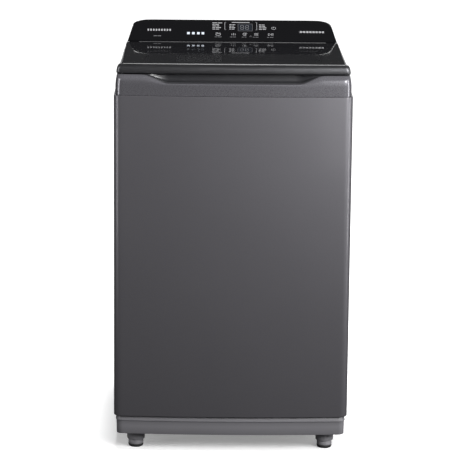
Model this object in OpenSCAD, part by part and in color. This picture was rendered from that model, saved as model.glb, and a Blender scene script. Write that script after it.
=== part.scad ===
// Top load washing machine: painted steel cabinet, hung tub, spinning basket and pulsator,
// glass lid and a sloped control console. +Z is up, the front faces -Y, the floor is z = 0.

/* [Cabinet] */
// Width of the steel cabinet
cabinet_w = 540; // [536:1:548]
// How far the front panel bows forward at its middle
front_bow = 10; // [6:1:12]
// Radius of the two front corners
corner_r = 16; // [12:1:24]
// Thickness of the cabinet sheet
sheet_t = 0.8; // [0.8:0.1:1.2]
// Height of the cabinet's bottom edge above the floor
cabinet_z0 = 85; // [83:1:88]
// Height of the seam between cabinet and top cover
seam_z = 833; // [828:1:836]

/* [Top cover and lid] */
// Width of the top cover at its foot
cover_w = 533.2; // [528:0.2:536]
// Wall thickness of the moulded plastic parts
wall_t = 3; // [2.5:0.1:3.4]
// Half width of the mouth above the basket
mouth_half_w = 200; // [194:1:202]
// Thickness of the lid glass
glass_t = 4.5; // [4:0.5:5]

/* [Console] */
// Rise of the sloped panel, in millimetres per 300 mm
console_rise = 176; // [170:1:180]
// Length of the sloped panel from front seam to rear edge
slope_len = 82; // [78:1:82]
// Travel of a push button
button_travel = 1.2; // [0.8:0.1:1.2]

/* [Wash unit] */
// Outside radius of the outer tub
tub_r = 235; // [230:1:238]
// Outside radius of the wash basket
basket_r = 210; // [204:1:212]
// Outside radius of the pulsator
pulsator_r = 168; // [150:1:170]
// Number of fins on the pulsator
fin_count = 6; // [4:1:6]
// Radius of the belt groove in the drive pulley
pulley_r = 85; // [80:1:88]
// Radius of the belt groove in the motor pulley
motor_pulley_r = 25; // [22:1:28]

/* [Feet] */
// Distance of a foot's centre from the middle, sideways
foot_x = 220; // [214:1:224]
// Height of the rubber pad
pad_h = 18; // [14:1:20]

/* [Hidden] */

$fn = 64;
fine = 128;
eps = 0.01;
big = 1000;

// Plan of the cabinet
half_w = cabinet_w / 2;
front_y = -280;
rear_y = 262;
rear_panel_y = rear_y + sheet_t;
hem_flange = 14;
rear_flange = 22;
cabinet_h = seam_z - cabinet_z0;

// Paint and plastic colours
paint_grey = [0.36, 0.35, 0.38];
cover_grey = [0.42, 0.41, 0.44];
gloss_black = [0.04, 0.04, 0.05];
soft_black = [0.10, 0.10, 0.11];
zinc = [0.66, 0.67, 0.68];
white_plastic = [0.86, 0.87, 0.88];

// Heights of the top cover, the lid and the console
cover_half = cover_w / 2;
cover_front_y = front_y + wall_t;
shoulder_z = 868;
deck_z = 879;
lid_z0 = 881;
lid_z1 = 902;
console_y0 = 150;
console_z0 = 902.5;
slope_a = atan2(console_rise, 300);
ridge_y = console_y0 + slope_len * cos(slope_a);
ridge_z = console_z0 + slope_len * sin(slope_a);
console_half = 252.5;
console_back_y = 256;

// Lid hinge line
hinge_y = 136.5;
hinge_z = 891.5;
hinge_pin_r = 4;
hinge_boss_r = 8.5;
hinge_boss_x = [226, 246];
barrel_r = 10.3;
lid_half = 252;
lid_front_y = -243;
glass_back_y = 126.5;

// Wash unit: everything turns about the tub's centre line
tub_y = -8;
tub_wall = 3.5;
tub_z0 = 225;
tub_z1 = 745;
basket_z0 = 256;
basket_z1 = 714;
basket_t = 0.8;
shaft_gap = 0.05;
spin_shaft_r = 15;
wash_shaft_r = 8;
input_shaft_r = 10;
motor_dx = 112;
motor_dy = 94;
motor_shaft_r = 7;
valve_x = -110;
valve_y = -90;

// Suspension: one rod in each corner of the cabinet
rod_x = 215;
rod_dy = 215;
rod_r = 4;
rod_z0 = 250;
rod_cap_h = 8;
lug_z = 341;
lug_t = 8;
rods = [for (sx = [-1, 1], sy = [-1, 1]) [sx * rod_x, tub_y + sy * rod_dy]];

// Feet
front_foot_y = -222;
rear_foot_y = 212;
foot_stem_r = 5;
foot_cup_r = 20.4;
foot_pad_r = 17.5;
foot_cup_z1 = pad_h + 16;
plinth_z0 = 41;

// Detergent drawer
drawer_x0 = -130;
drawer_x1 = -30;
drawer_z0 = 842;
drawer_z1 = 868;
drawer_y1 = 210;
mouth_front_y = -226;
mouth_back_y = 118;

// Rear fittings
inlet_x = 150;
inlet_z = 856;
inlet_spigot_r = 13.2;
inlet_end_y = 280;
inlet_pipe_y = 166;
outlet_x = -190;
outlet_z = 120;
outlet_r = 14;
gland_x = -215;
gland_z = 790;

// ---------- plan outlines ----------

// Points of an arc from a0 to a1 degrees, with rx and ry as its half axes
function arc(cx, cy, rx, ry, a0, a1, n) =
    [for (i = [0:n]) let (a = a0 + (a1 - a0) * i / n) [cx + rx * cos(a), cy + ry * sin(a)]];

// A box plan whose front is a shallow bow between two round corners
function bowed_plan(hw, y_front, y_back, r, bow) =
    let (
        a = atan(2 * bow / (hw - r)),
        cy = y_front + bow + r * cos(a),
        span = hw - r + r * sin(a),
        n = 20
    )
    concat(
        arc(hw - r, cy, r, r, 0, a - 90, 8),
        [for (i = [1:n - 1]) let (x = span * (1 - 2 * i / n)) [x, y_front + bow * pow(x / span, 2)]],
        arc(r - hw, cy, r, r, -90 - a, -180, 8),
        [[-hw, y_back], [hw, y_back]]
    );

// The cabinet's plan, drawn in by t on every side
function cabinet_plan(t) =
    bowed_plan(half_w - t, front_y + t, rear_y - t, max(corner_r - t, 2), front_bow);

// The top cover's plan, drawn in by t
function cover_plan(t) =
    bowed_plan(cover_half - t, cover_front_y + t, rear_y - t, max(corner_r - t, 2), front_bow);

// The plinth's plan, drawn in by t
function plinth_plan(t) =
    bowed_plan(half_w - 4 - t, front_y + 4 + t, rear_y - t, max(corner_r - t, 2), front_bow);

// The mouth above the basket: wide, round at the front, cut short at the back
function mouth_plan(t) =
    let (hw = mouth_half_w + t, yf = mouth_front_y - t, yb = mouth_back_y + t)
    concat(
        arc(hw - 110 - t, yf + 110 + t, 110 + t, 110 + t, 0, -90, 16),
        arc(110 + t - hw, yf + 110 + t, 110 + t, 110 + t, -90, -180, 16),
        arc(30 + t - hw, yb - 30 - t, 30 + t, 30 + t, 180, 90, 8),
        arc(hw - 30 - t, yb - 30 - t, 30 + t, 30 + t, 90, 0, 8)
    );

// The console's plan: slightly tapered sides and long rounded rear corners
function console_plan(t) =
    let (yb = console_back_y - t)
    concat(
        [[console_half - t, console_y0]],
        arc(211, 205, 30 - t, yb - 205, 0, 90, 14),
        arc(-211, 205, 30 - t, yb - 205, 90, 180, 14),
        [[t - console_half, console_y0]]
    );

// ---------- helpers ----------

module slab(z0, z1) {
    translate([0, 0, z0]) linear_extrude(z1 - z0) children();
}

module along_y(x, y0, y1, z, r) {
    translate([x, y0, z]) rotate([-90, 0, 0]) cylinder(h = y1 - y0, r = r);
}

module along_x(x0, x1, y, z, r) {
    translate([x0, y, z]) rotate([0, 90, 0]) cylinder(h = x1 - x0, r = r);
}

module block(x0, x1, y0, y1, z0, z1) {
    translate([x0, y0, z0]) cube([x1 - x0, y1 - y0, z1 - z0]);
}

// A side profile in Y and Z, drawn out across the machine from x0 to x1
module across(x0, x1) {
    translate([x0, 0, 0]) rotate([90, 0, 90]) linear_extrude(x1 - x0) children();
}

// A front profile in X and Z, drawn out from y0 to y1
module through_y(y0, y1) {
    translate([0, y1, 0]) rotate([90, 0, 0]) linear_extrude(y1 - y0) children();
}

// Puts children, drawn in panel coordinates (x, along the slope, out of the panel), on the console
module on_console() {
    translate([0, console_y0, console_z0]) rotate([slope_a, 0, 0]) children();
}

module at_tub() {
    translate([0, tub_y, 0]) children();
}

module at_motor() {
    translate([motor_dx, tub_y + motor_dy, 0]) children();
}

// A tube of round section swept along points, with its two ends closed
module swept_tube(pts, r, sides) {
    n = len(pts);
    dirs = [for (i = [0:n - 1])
        let (d = pts[min(i + 1, n - 1)] - pts[max(i - 1, 0)]) d / norm(d)];
    rings = [for (i = [0:n - 1])
        let (
            up = abs(dirs[i][2]) > 0.95 ? [1, 0, 0] : [0, 0, 1],
            u = cross(dirs[i], up) / norm(cross(dirs[i], up)),
            v = cross(u, dirs[i])
        )
        for (k = [0:sides - 1]) pts[i] + r * cos(360 * k / sides) * u + r * sin(360 * k / sides) * v];
    walls = [for (i = [0:n - 2], k = [0:sides - 1])
        let (a = i * sides + k, b = i * sides + (k + 1) % sides)
        [a, b, b + sides, a + sides]];
    first = [for (k = [0:sides - 1]) sides - 1 - k];
    last = [for (k = [0:sides - 1]) (n - 1) * sides + k];
    polyhedron(rings, concat(walls, [first, last]), convexity = 8);
}

// ---------- cabinet ----------

module cabinet() {
    color(paint_grey) difference() {
        slab(cabinet_z0, seam_z) polygon(cabinet_plan(0));
        slab(cabinet_z0 + sheet_t, seam_z - sheet_t) polygon(cabinet_plan(sheet_t));
        slab(cabinet_z0 - 1, seam_z + 1) polygon(cabinet_plan(hem_flange));
        block(rear_flange - half_w, half_w - rear_flange, rear_y - 20, rear_y + 5,
            cabinet_z0 - 1, seam_z + 1);
        for (p = rear_screw_places) along_y(p[0], rear_y - 10, rear_y + 5, p[1], screw_hole_r);
    }
}

screw_r = 1.9;
screw_hole_r = 2;
screw_head_r = 4.2;
screw_head_t = 2.2;
rear_screw_places = [for (s = [-1, 1], z = [110, 330, 560, 780]) [s * 258, z]];
cover_tab_x = 225;
cover_tab_z = 822;
cover_tab_t = 2.5;

module rear_panel() {
    color(zinc) difference() {
        union() {
            block(-264, 264, rear_y, rear_panel_y, 90, seam_z - 1);
            for (i = [0:5]) block(-205, 205, rear_panel_y - eps, rear_panel_y + 2, 210 + 100 * i, 222 + 100 * i);
        }
        for (p = rear_screw_places) along_y(p[0], rear_y - 1, rear_y + 5, p[1], screw_hole_r);
        along_y(outlet_x, rear_y - 1, rear_y + 5, outlet_z, outlet_r + 0.4);
        along_y(gland_x, rear_y - 1, rear_y + 5, gland_z, 6);
        for (s = [-1, 1]) along_y(s * cover_tab_x, rear_y - 1, rear_y + 5, cover_tab_z, screw_hole_r);
    }
}

module rear_screw(x, z, y0) {
    along_y(x, y0 - 9, y0, z, screw_r);
    along_y(x, y0, y0 + screw_head_t, z, screw_head_r);
}

module rear_panel_screws() {
    color(zinc) for (p = rear_screw_places) rear_screw(p[0], p[1], rear_panel_y);
}

module foot_boss(x, y) {
    translate([x, y, plinth_z0]) cylinder(h = cabinet_z0 - plinth_z0, r = 24);
}

module base_plinth() {
    color(soft_black) difference() {
        union() {
            difference() {
                union() {
                    slab(plinth_z0, 73) polygon(plinth_plan(2));
                    slab(73, cabinet_z0) polygon(plinth_plan(0));
                }
                slab(plinth_z0 - 1, cabinet_z0 - wall_t) polygon(plinth_plan(5));
                slab(plinth_z0 - 1, cabinet_z0 + 1) polygon(plinth_plan(34));
            }
            for (s = [-1, 1]) {
                foot_boss(s * foot_x, front_foot_y);
                foot_boss(s * foot_x, rear_foot_y);
            }
        }
        for (s = [-1, 1])
            translate([s * foot_x, front_foot_y, 0]) cylinder(h = 90, r = foot_stem_r + shaft_gap);
    }
}

module rear_feet() {
    color(soft_black) for (s = [-1, 1]) translate([s * foot_x, rear_foot_y, 0]) {
        cylinder(h = plinth_z0, r = foot_pad_r);
    }
}

locknut_h = 6;

module foot_locknuts() {
    color(zinc) for (s = [-1, 1]) translate([s * foot_x, front_foot_y, plinth_z0 - locknut_h]) {
        difference() {
            cylinder(h = locknut_h, r = 9.2, $fn = 6);
            translate([0, 0, -1]) cylinder(h = locknut_h + 2, r = foot_stem_r + shaft_gap);
        }
    }
}

module foot_screw(x) {
    color(zinc) translate([x, front_foot_y, 0]) {
        translate([0, 0, pad_h]) cylinder(h = foot_cup_z1 - pad_h, r = foot_cup_r);
        translate([0, 0, foot_cup_z1 - eps]) cylinder(h = 44, r = foot_stem_r);
    }
}

module foot_pad(x) {
    color(soft_black) translate([x, front_foot_y, 0]) cylinder(h = pad_h, r = foot_pad_r);
}

module left_foot_screw() { foot_screw(-foot_x); }
module left_foot_pad() { foot_pad(-foot_x); }
module right_foot_screw() { foot_screw(foot_x); }
module right_foot_pad() { foot_pad(foot_x); }

gusset_leg = 130;
gusset_z = 814;
gusset_t = 3;

module corner_gussets() {
    color(zinc) difference() {
        intersection() {
            slab(gusset_z, gusset_z + gusset_t) polygon(cabinet_plan(sheet_t));
            for (sx = [-1, 1]) {
                slab(gusset_z - 1, gusset_z + 5)
                    polygon([[sx * half_w, front_y], [sx * (half_w - gusset_leg), front_y],
                        [sx * half_w, front_y + gusset_leg]]);
                slab(gusset_z - 1, gusset_z + 5)
                    polygon([[sx * half_w, rear_y], [sx * (half_w - gusset_leg), rear_y],
                        [sx * half_w, rear_y - gusset_leg]]);
            }
        }
        for (p = rods) translate([p[0], p[1], gusset_z - 1]) cylinder(h = 6, r = 8);
    }
}

module suspension_rods() {
    color(zinc) for (p = rods) translate([p[0], p[1], rod_z0]) {
        cylinder(h = rod_cap_h, r = 17);
        cylinder(h = 576, r = rod_r);
    }
}

seat_h = 11;

module rod_seats() {
    color(white_plastic) for (p = rods) translate([p[0], p[1], gusset_z + gusset_t]) difference() {
        intersection() {
            cylinder(h = seat_h, r = 14);
            translate([0, 0, -6]) sphere(r = 18);
        }
        translate([0, 0, -1]) cylinder(h = seat_h + 2, r = rod_r + shaft_gap);
    }
}

spring_turns = 7;
spring_mid_r = 12.5;
spring_wire_r = 1.75;
spring_h = 79;
spring_steps = 12;

module suspension_springs() {
    z0 = rod_z0 + rod_cap_h + spring_wire_r + 0.1;
    lift = spring_h - 2 * spring_wire_r - 0.5;
    count = spring_turns * spring_steps;
    color(zinc) for (p = rods)
        swept_tube(
            [for (i = [0:count]) let (a = 360 * i / spring_steps)
                [p[0] + spring_mid_r * cos(a), p[1] + spring_mid_r * sin(a), z0 + lift * i / count]],
            spring_wire_r, 6);
}

// ---------- top cover ----------

recess_half_top = 198;
recess_half_floor = 151;
recess_floor_z = 861;
recess_back_y = -244;

// The finger recess under the lid's front edge, made larger by g all round
module finger_recess(g) {
    through_y(front_y - 20, recess_back_y + g)
        polygon([
            [-recess_half_top - g, deck_z + 5], [-recess_half_top - g, deck_z - 2],
            [-recess_half_floor - 20 - g, recess_floor_z + 4 - g], [-recess_half_floor - g, recess_floor_z - g],
            [recess_half_floor + g, recess_floor_z - g], [recess_half_floor + 20 + g, recess_floor_z + 4 - g],
            [recess_half_top + g, deck_z - 2], [recess_half_top + g, deck_z + 5]
        ]);
}

// Foot of the cover with its rolled shoulder, drawn in by t
module cover_block(t) {
    slab(seam_z - (t > 0 ? 1 : 0), shoulder_z) polygon(cover_plan(t));
    hull() {
        slab(shoulder_z - eps, shoulder_z) polygon(cover_plan(t));
        slab(shoulder_z + 6 - t, shoulder_z + 6 - t + eps)
            polygon(bowed_plan(cover_half - 0.6 - t, cover_front_y + 5 + t, rear_y - t, corner_r, front_bow));
        slab(deck_z - t - eps, deck_z - t)
            polygon(bowed_plan(cover_half - 1.2 - t, cover_front_y + 17 + t, rear_y - t, corner_r, front_bow));
    }
}

// A raised rail beside the lid
module side_rail(s) {
    through_y(lid_front_y, console_y0)
        polygon([
            [s * (lid_half + 1), deck_z - 0.5], [s * (cover_half - 1.2), deck_z - 0.5],
            [s * (cover_half - 1.6), lid_z0 + 1], [s * 263, 890], [s * 259.5, 897], [s * 258.2, 899],
            [s * (lid_half + 1), 899]
        ]);
}

module hinge_boss(s) {
    x0 = s > 0 ? hinge_boss_x[0] : -hinge_boss_x[1];
    x1 = s > 0 ? hinge_boss_x[1] : -hinge_boss_x[0];
    along_x(x0, x1, hinge_y, hinge_z, hinge_boss_r);
    block(x0, x1, hinge_y - 7, hinge_y + 7, deck_z - 0.5, hinge_z);
}

// A tab that hangs over the rear panel and takes a screw
module cover_tab(x) {
    block(x - 12, x + 12, rear_y - eps, rear_panel_y + cover_tab_t, seam_z, 850);
    block(x - 12, x + 12, rear_panel_y, rear_panel_y + cover_tab_t, cover_tab_z - 10, seam_z + eps);
}

module top_cover() {
    color(cover_grey) difference() {
        union() {
            difference() {
                cover_block(0);
                finger_recess(0);
                difference() {
                    cover_block(wall_t);
                    finger_recess(wall_t);
                }
            }
            slab(795, deck_z - 0.5) polygon(mouth_plan(wall_t));
            for (s = [-1, 1]) {
                side_rail(s);
                hinge_boss(s);
                cover_tab(s * cover_tab_x);
            }
        }
        slab(790, deck_z + 5) polygon(mouth_plan(0));
        along_x(-big, big, hinge_y, hinge_z, hinge_pin_r + shaft_gap);
        along_y(inlet_x, rear_y - 10, rear_y + 5, inlet_z, inlet_spigot_r + 0.4);
        block(
            drawer_x0 - 1, drawer_x1 + 1, mouth_back_y - 10,
            mouth_back_y + 10, drawer_z0 - 1, drawer_z1 + 1
        );
        for (s = [-1, 1]) along_y(s * cover_tab_x, rear_y - 10, rear_y + 9, cover_tab_z, screw_hole_r);
    }
}

module top_cover_screws() {
    color(zinc) for (s = [-1, 1]) rear_screw(s * cover_tab_x, cover_tab_z, rear_panel_y + cover_tab_t);
}

// ---------- console ----------

panel_t = 3;
window_x = [15, 48];
window_s = [40, 66];
button_row_s = 25.5;
button_row_x = [-34, 3, 31, 58, 92];
button_w = 18;
button_h = 14;
button_gap = 0.4;
power_x = 100.5;
power_s = 50;

// Side profile of the console, drawn in by t
function console_side(t) =
    let (k = t / cos(slope_a))
    [
        [console_y0 + t, deck_z - (t > 0 ? 1 : 0)], [console_y0 + t, console_z0 + t * tan(slope_a) - k],
        [ridge_y, ridge_z - k], [ridge_y + 5 - t * 0.3, ridge_z + 1 - k],
        [ridge_y + 15.3 - t * 0.6, ridge_z - 1 - k * 0.8], [ridge_y + 25.3 - t * 0.9, ridge_z - 8 - k * 0.6],
        [console_back_y - 3 - t, ridge_z - 22 - k * 0.5], [console_back_y - t, 900],
        [console_back_y - t, deck_z - (t > 0 ? 1 : 0)]
    ];

// A rounded rear corner of the panel, laid out along the slope
function panel_corner(cx, inset, a0, a1) =
    [
        for (p = arc(cx, 196, 30 - inset, 21, a0, a1, 12))
            [p[0], min((p[1] - console_y0) / cos(slope_a), slope_len - inset)]
    ];

module panel_plan(t) {
    inset = 4 - t;
    polygon(concat(
        [[console_half - inset, 0.6 - t]],
        panel_corner(211, inset, 0, 80),
        panel_corner(-211, inset, 100, 180),
        [[inset - console_half, 0.6 - t]]
    ));
}

module console_housing() {
    color(gloss_black) difference() {
        intersection() {
            across(-big / 2, big / 2) polygon(console_side(0));
            slab(deck_z, console_z0 + 60) polygon(console_plan(0));
        }
        intersection() {
            across(-big / 2, big / 2) polygon(console_side(wall_t + panel_t));
            slab(deck_z - 1, console_z0 + 60) polygon(console_plan(wall_t));
        }
        on_console() translate([0, 0, -panel_t]) linear_extrude(20) panel_plan(0.2);
        on_console() translate([-160, 10, -20]) cube([320, 62, 20]);
    }
}

module button_place(i) {
    x = i < 5 ? button_row_x[i] : power_x;
    s = i < 5 ? button_row_s : power_s;
    translate([x, s, 0]) children();
}

module console_panel() {
    color(gloss_black) on_console() difference() {
        translate([0, 0, -panel_t]) linear_extrude(panel_t) panel_plan(0);
        for (i = [0:5]) button_place(i)
            translate([-button_w / 2 - button_gap, -button_h / 2 - button_gap, -5])
                cube([button_w + 2 * button_gap, button_h + 2 * button_gap, 10]);
        translate([window_x[0], window_s[0], -5]) cube([window_x[1] - window_x[0], window_s[1] - window_s[0], 10]);
    }
}

module display_window() {
    color([0.08, 0.09, 0.11]) on_console()
        translate([window_x[0] + 0.1, window_s[0] + 0.1, -panel_t])
            cube([window_x[1] - window_x[0] - 0.2, window_s[1] - window_s[0] - 0.2, panel_t]);
}

board_n = -14;

module control_board() {
    color([0.10, 0.35, 0.18]) on_console() {
        translate([-130, 12, board_n]) cube([270, 58, 1.6]);
        translate([window_x[0] + 2, window_s[0] + 2, board_n + 1.6 - eps]) cube([29, 22, 8]);
        translate([-118, 30, board_n - 14]) cube([34, 24, 14 + eps]);
    }
}

module push_button(i) {
    color(gloss_black) on_console() button_place(i) {
        translate([-button_w / 2, -button_h / 2, -2.2]) cube([button_w, button_h, 2.6]);
        translate([0, 0, -10.8]) cylinder(h = 9, r = 2.5);
    }
}

module wash_button() { push_button(0); }
module rinse_button() { push_button(1); }
module spin_button() { push_button(2); }
module program_button() { push_button(3); }
module start_button() { push_button(4); }
module power_button() { push_button(5); }

// ---------- water supply, sensors, fittings ----------

module detergent_housing() {
    color(white_plastic) difference() {
        block(
            drawer_x0 - 3.5, drawer_x1 + 3.5, mouth_back_y + wall_t,
            drawer_y1 + 7, drawer_z0 - 3.5, deck_z - wall_t
        );
        block(drawer_x0 - 1, drawer_x1 + 1, mouth_back_y, drawer_y1 + 4, drawer_z0 - 1, drawer_z1 + 1);
        translate([-80, 146, drawer_z0 - 10]) cylinder(h = 12, r = 18);
    }
}

module detergent_drawer() {
    color(white_plastic) {
        difference() {
            block(drawer_x0, drawer_x1, mouth_back_y - 1, drawer_y1, drawer_z0, drawer_z1);
            block(drawer_x0 + 2.5, drawer_x1 - 2.5, mouth_back_y + 2, drawer_y1 - 2.5, drawer_z0 + 2.5, drawer_z1 + 1);
        }
        difference() {
            block(drawer_x0 - 4, drawer_x1 + 4, mouth_back_y - 7, mouth_back_y - 0.5, drawer_z0 - 4, drawer_z1 + 4);
            block(-100, -60, mouth_back_y - 8, mouth_back_y - 4, drawer_z0 + 2, drawer_z0 + 12);
        }
    }
}

module inlet_valve() {
    color(white_plastic) {
        difference() {
            union() {
                along_y(inlet_x, 250, rear_y + eps, inlet_z, inlet_spigot_r - 0.6);
                along_y(inlet_x, rear_y, inlet_end_y, inlet_z, inlet_spigot_r);
            }
            along_y(inlet_x, rear_y, inlet_end_y + 1, inlet_z, 9.5);
        }
        block(inlet_x - 18, inlet_x + 18, 212, 251, 838, 874);
        along_x(inlet_x + 18 - eps, inlet_x + 50, 232, inlet_z, 15);
        along_y(inlet_x, inlet_pipe_y, 213, inlet_z, 9);
        along_x(drawer_x1 + 3.5, inlet_x, inlet_pipe_y, inlet_z, 9);
        translate([inlet_x, inlet_pipe_y, inlet_z]) sphere(r = 9);
    }
}

module water_level_sensor() {
    color(white_plastic) translate([-190, 190, deck_z]) {
        cylinder(h = 18, r = 22);
        translate([0, 0, 18 - eps]) cylinder(h = 10, r = 6);
    }
}

module lid_switch() {
    color(soft_black) block(213, 237, -238, -222, 864, deck_z - wall_t);
}

module lid_bumpers() {
    color(soft_black) for (s = [-1, 1], y = [-190, 100])
        translate([s * 236, y, deck_z]) cylinder(h = 1.6, r = 6);
}

module cord_gland() {
    color(soft_black) difference() {
        union() {
            along_y(gland_x, rear_y - 6, rear_panel_y + 1, gland_z, 5.9);
            along_y(gland_x, rear_panel_y, rear_panel_y + 8, gland_z, 9);
        }
        along_y(gland_x, rear_y - 10, rear_y + 20, gland_z, 4);
    }
}

module drain_outlet() {
    color(soft_black) difference() {
        union() {
            along_y(outlet_x, 246, rear_panel_y + 1, outlet_z, hose_r);
            along_y(outlet_x, rear_panel_y, rear_panel_y + 3, outlet_z, 22);
            along_y(outlet_x, rear_panel_y + 3 - eps, 279, outlet_z, outlet_r);
        }
        along_y(outlet_x, 240, 290, outlet_z, outlet_r - 2.5);
    }
}

hose_r = 13.5;
hose_points = 12;
hose_y = [12.3, 26, 232, 245.7];
hose_z = 180;

// The inner drain hose: straight at both ends, with an even sideways and downward curve between them
module drain_hose() {
    color([0.55, 0.56, 0.58]) swept_tube(
        concat(
            [[valve_x, hose_y[0], hose_z]],
            [for (i = [0:hose_points]) let (t = i / hose_points, e = (1 - cos(180 * t)) / 2)
                [valve_x + (outlet_x - valve_x) * e, hose_y[1] + (hose_y[2] - hose_y[1]) * t,
                    hose_z + (outlet_z - hose_z) * e]],
            [[outlet_x, hose_y[3], outlet_z]]
        ),
        hose_r, 12);
}

// ---------- lid ----------

module lid_frame() {
    color(soft_black) difference() {
        union() {
            difference() {
                block(-lid_half, lid_half, lid_front_y, glass_back_y, lid_z0, lid_z1 - glass_t);
                slab(lid_z0 - 1, lid_z1) polygon([
                    [-205, -205], [-190, -212], [190, -212], [205, -205], [205, glass_back_y - 44],
                    [190, glass_back_y - 32], [-190, glass_back_y - 32], [-205, glass_back_y - 44]]);
            }
            along_x(-lid_half, lid_half, hinge_y, hinge_z, barrel_r);
            block(-lid_half, lid_half, glass_back_y - eps, hinge_y, lid_z0 + 0.2, lid_z1 - 0.2);
        }
        for (s = [-1, 1])
            block(s * 236 - 11, s * 236 + 11, glass_back_y - 3, hinge_y + 16, lid_z0 - 1, lid_z1 + 1);
        along_x(-big, big, hinge_y, hinge_z, hinge_pin_r + shaft_gap);
        block(213.8, 236.2, -236.2, -223.8, lid_z0 - 1, lid_z0 + 6.2);
    }
}

module lid_glass() {
    color([0.10, 0.10, 0.12, 0.55])
        block(-lid_half, lid_half, lid_front_y, glass_back_y - 3, lid_z1 - glass_t, lid_z1);
}

// The rounded metal nose along the lid's front edge, following the bow of the front
module lid_front_trim() {
    color(zinc) difference() {
        hull() {
            slab(lid_z0, lid_z0 + 6)
                polygon(bowed_plan(264.6, -258, lid_front_y, 10, 8));
            slab(lid_z0 + 9, lid_z0 + 14)
                polygon(bowed_plan(262.6, -258, lid_front_y, 10, 8));
            slab(lid_z1 - 1, lid_z1)
                polygon(bowed_plan(258, -251, lid_front_y, 6, 5));
        }
        block(-big, big, lid_front_y, 0, lid_z0 - 1, lid_z1 + 1);
    }
}

module lid_hinge_pins() {
    color(zinc) for (s = [-1, 1]) {
        x0 = s > 0 ? 215 : -lid_half + 1;
        along_x(x0, x0 + lid_half - 216, hinge_y, hinge_z, hinge_pin_r);
    }
}

module lid_magnet() {
    color(zinc) block(214, 236, -236, -224, lid_z0 + 0.4, lid_z0 + 6);
}

// ---------- hung tub ----------

module lug(p) {
    dx = p[0];
    dy = p[1] - tub_y;
    translate([0, 0, lug_z]) {
        rotate([0, 0, atan2(dy, dx)]) translate([tub_r - 8, -18, 0]) cube([60, 36, lug_t]);
        translate([dx, dy, 0]) cylinder(h = lug_t, r = 23);
    }
    translate([0, 0, lug_z - 40]) rotate([0, 0, atan2(dy, dx)])
        translate([tub_r - 8, -3, 0]) cube([26, 6, 42]);
}

module outer_tub() {
    color(white_plastic) at_tub() difference() {
        union() {
            translate([0, 0, tub_z0]) cylinder(h = tub_z1 - tub_z0, r = tub_r, $fn = fine);
            translate([0, 0, tub_z1 - 5]) cylinder(h = 5, r = tub_r + 8, $fn = fine);
            for (z = [300, 420, 520, 620]) translate([0, 0, z]) cylinder(h = 3, r = tub_r + 4, $fn = fine);
            for (p = rods) lug(p);
        }
        translate([0, 0, tub_z0 + 4]) cylinder(h = big, r = tub_r - tub_wall, $fn = fine);
        translate([0, 0, tub_z0 - 1]) cylinder(h = 10, r = 45);
        translate([valve_x, valve_y - tub_y, tub_z0 - 1]) cylinder(h = 10, r = 20);
        for (p = rods) translate([p[0], p[1] - tub_y, lug_z - 1]) cylinder(h = lug_t + 2, r = 9);
    }
}

module tub_cover() {
    color(white_plastic) at_tub() rotate_extrude($fn = fine) polygon([
        [231.5, tub_z1], [243, tub_z1], [243, 751], [237, 759], [192, 772], [186, 771],
        [184, 766], [187, 766], [191, 768.6], [232, 756.5], [231.5, 752]
    ]);
}

bracket_z = 222.5;

module tub_bracket() {
    color(zinc) at_tub() difference() {
        union() {
            translate([0, 0, bracket_z]) cylinder(h = tub_z0 - bracket_z, r = 206, $fn = fine);
            translate([0, 0, bracket_z - 10]) cylinder(h = 12, r = 206, $fn = fine);
        }
        translate([0, 0, bracket_z - 11]) cylinder(h = 11, r = 203, $fn = fine);
        translate([0, 0, bracket_z - 20]) cylinder(h = 40, r = 46);
        translate([valve_x, valve_y - tub_y, bracket_z - 1]) cylinder(h = 10, r = 20);
    }
}

clutch_z0 = 118;

module clutch_housing() {
    color(zinc) at_tub() difference() {
        union() {
            translate([0, 0, clutch_z0]) cylinder(h = 97, r = 66);
            translate([0, 0, 212]) cylinder(h = bracket_z - 212, r = 84);
            translate([0, 0, bracket_z - 1]) cylinder(h = 21, r = 44);
        }
        translate([0, 0, 128]) cylinder(h = big, r = spin_shaft_r + shaft_gap);
        translate([0, 0, clutch_z0 - 1]) cylinder(h = 10, r = input_shaft_r + shaft_gap);
    }
}

motor_z0 = 125;
motor_h = 78;

module motor() {
    color([0.30, 0.31, 0.33]) at_motor() difference() {
        union() {
            translate([0, 0, motor_z0]) cylinder(h = motor_h, r = 58);
            translate([0, 0, clutch_z0]) cylinder(h = 8, r = 38);
            for (a = [45:90:315]) rotate([0, 0, a]) translate([46, 0, motor_z0 + motor_h - 1])
                cylinder(h = bracket_z - motor_z0 - motor_h + 1 - eps, r = 6);
        }
        translate([0, 0, clutch_z0 - 1]) cylinder(h = 26, r = motor_shaft_r + shaft_gap);
    }
}

module drain_valve() {
    color(white_plastic) translate([valve_x, valve_y, 0]) {
        difference() {
            translate([0, 0, 160]) cylinder(h = bracket_z - 160, r = 26);
            translate([0, 0, 200]) cylinder(h = 40, r = 20);
        }
        along_y(0, 20, 102, hose_z, hose_r);
    }
}

module drain_actuator() {
    color(white_plastic) block(-178, -138, -78, -20, 196, bracket_z);
}

module damper_cups() {
    color(soft_black) for (p = rods) translate([p[0], p[1], 0]) difference() {
        translate([0, 0, 283]) cylinder(h = lug_z - 283, r = 22);
        translate([0, 0, 282]) cylinder(h = lug_z - 3 - 282, r = 19.5);
        translate([0, 0, 330]) cylinder(h = 20, r = 6);
    }
}

belt_z = 97;
belt_h = 8;
belt_gap = 0.4;
belt_t = 4;

module belt_loop(g) {
    hull() {
        circle(r = pulley_r + g, $fn = 96);
        translate([motor_dx, motor_dy]) circle(r = motor_pulley_r + g, $fn = 48);
    }
}

module drive_belt() {
    color(soft_black) at_tub() slab(belt_z, belt_z + belt_h) difference() {
        belt_loop(belt_gap + belt_t);
        belt_loop(belt_gap);
    }
}

// ---------- basket ----------

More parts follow.
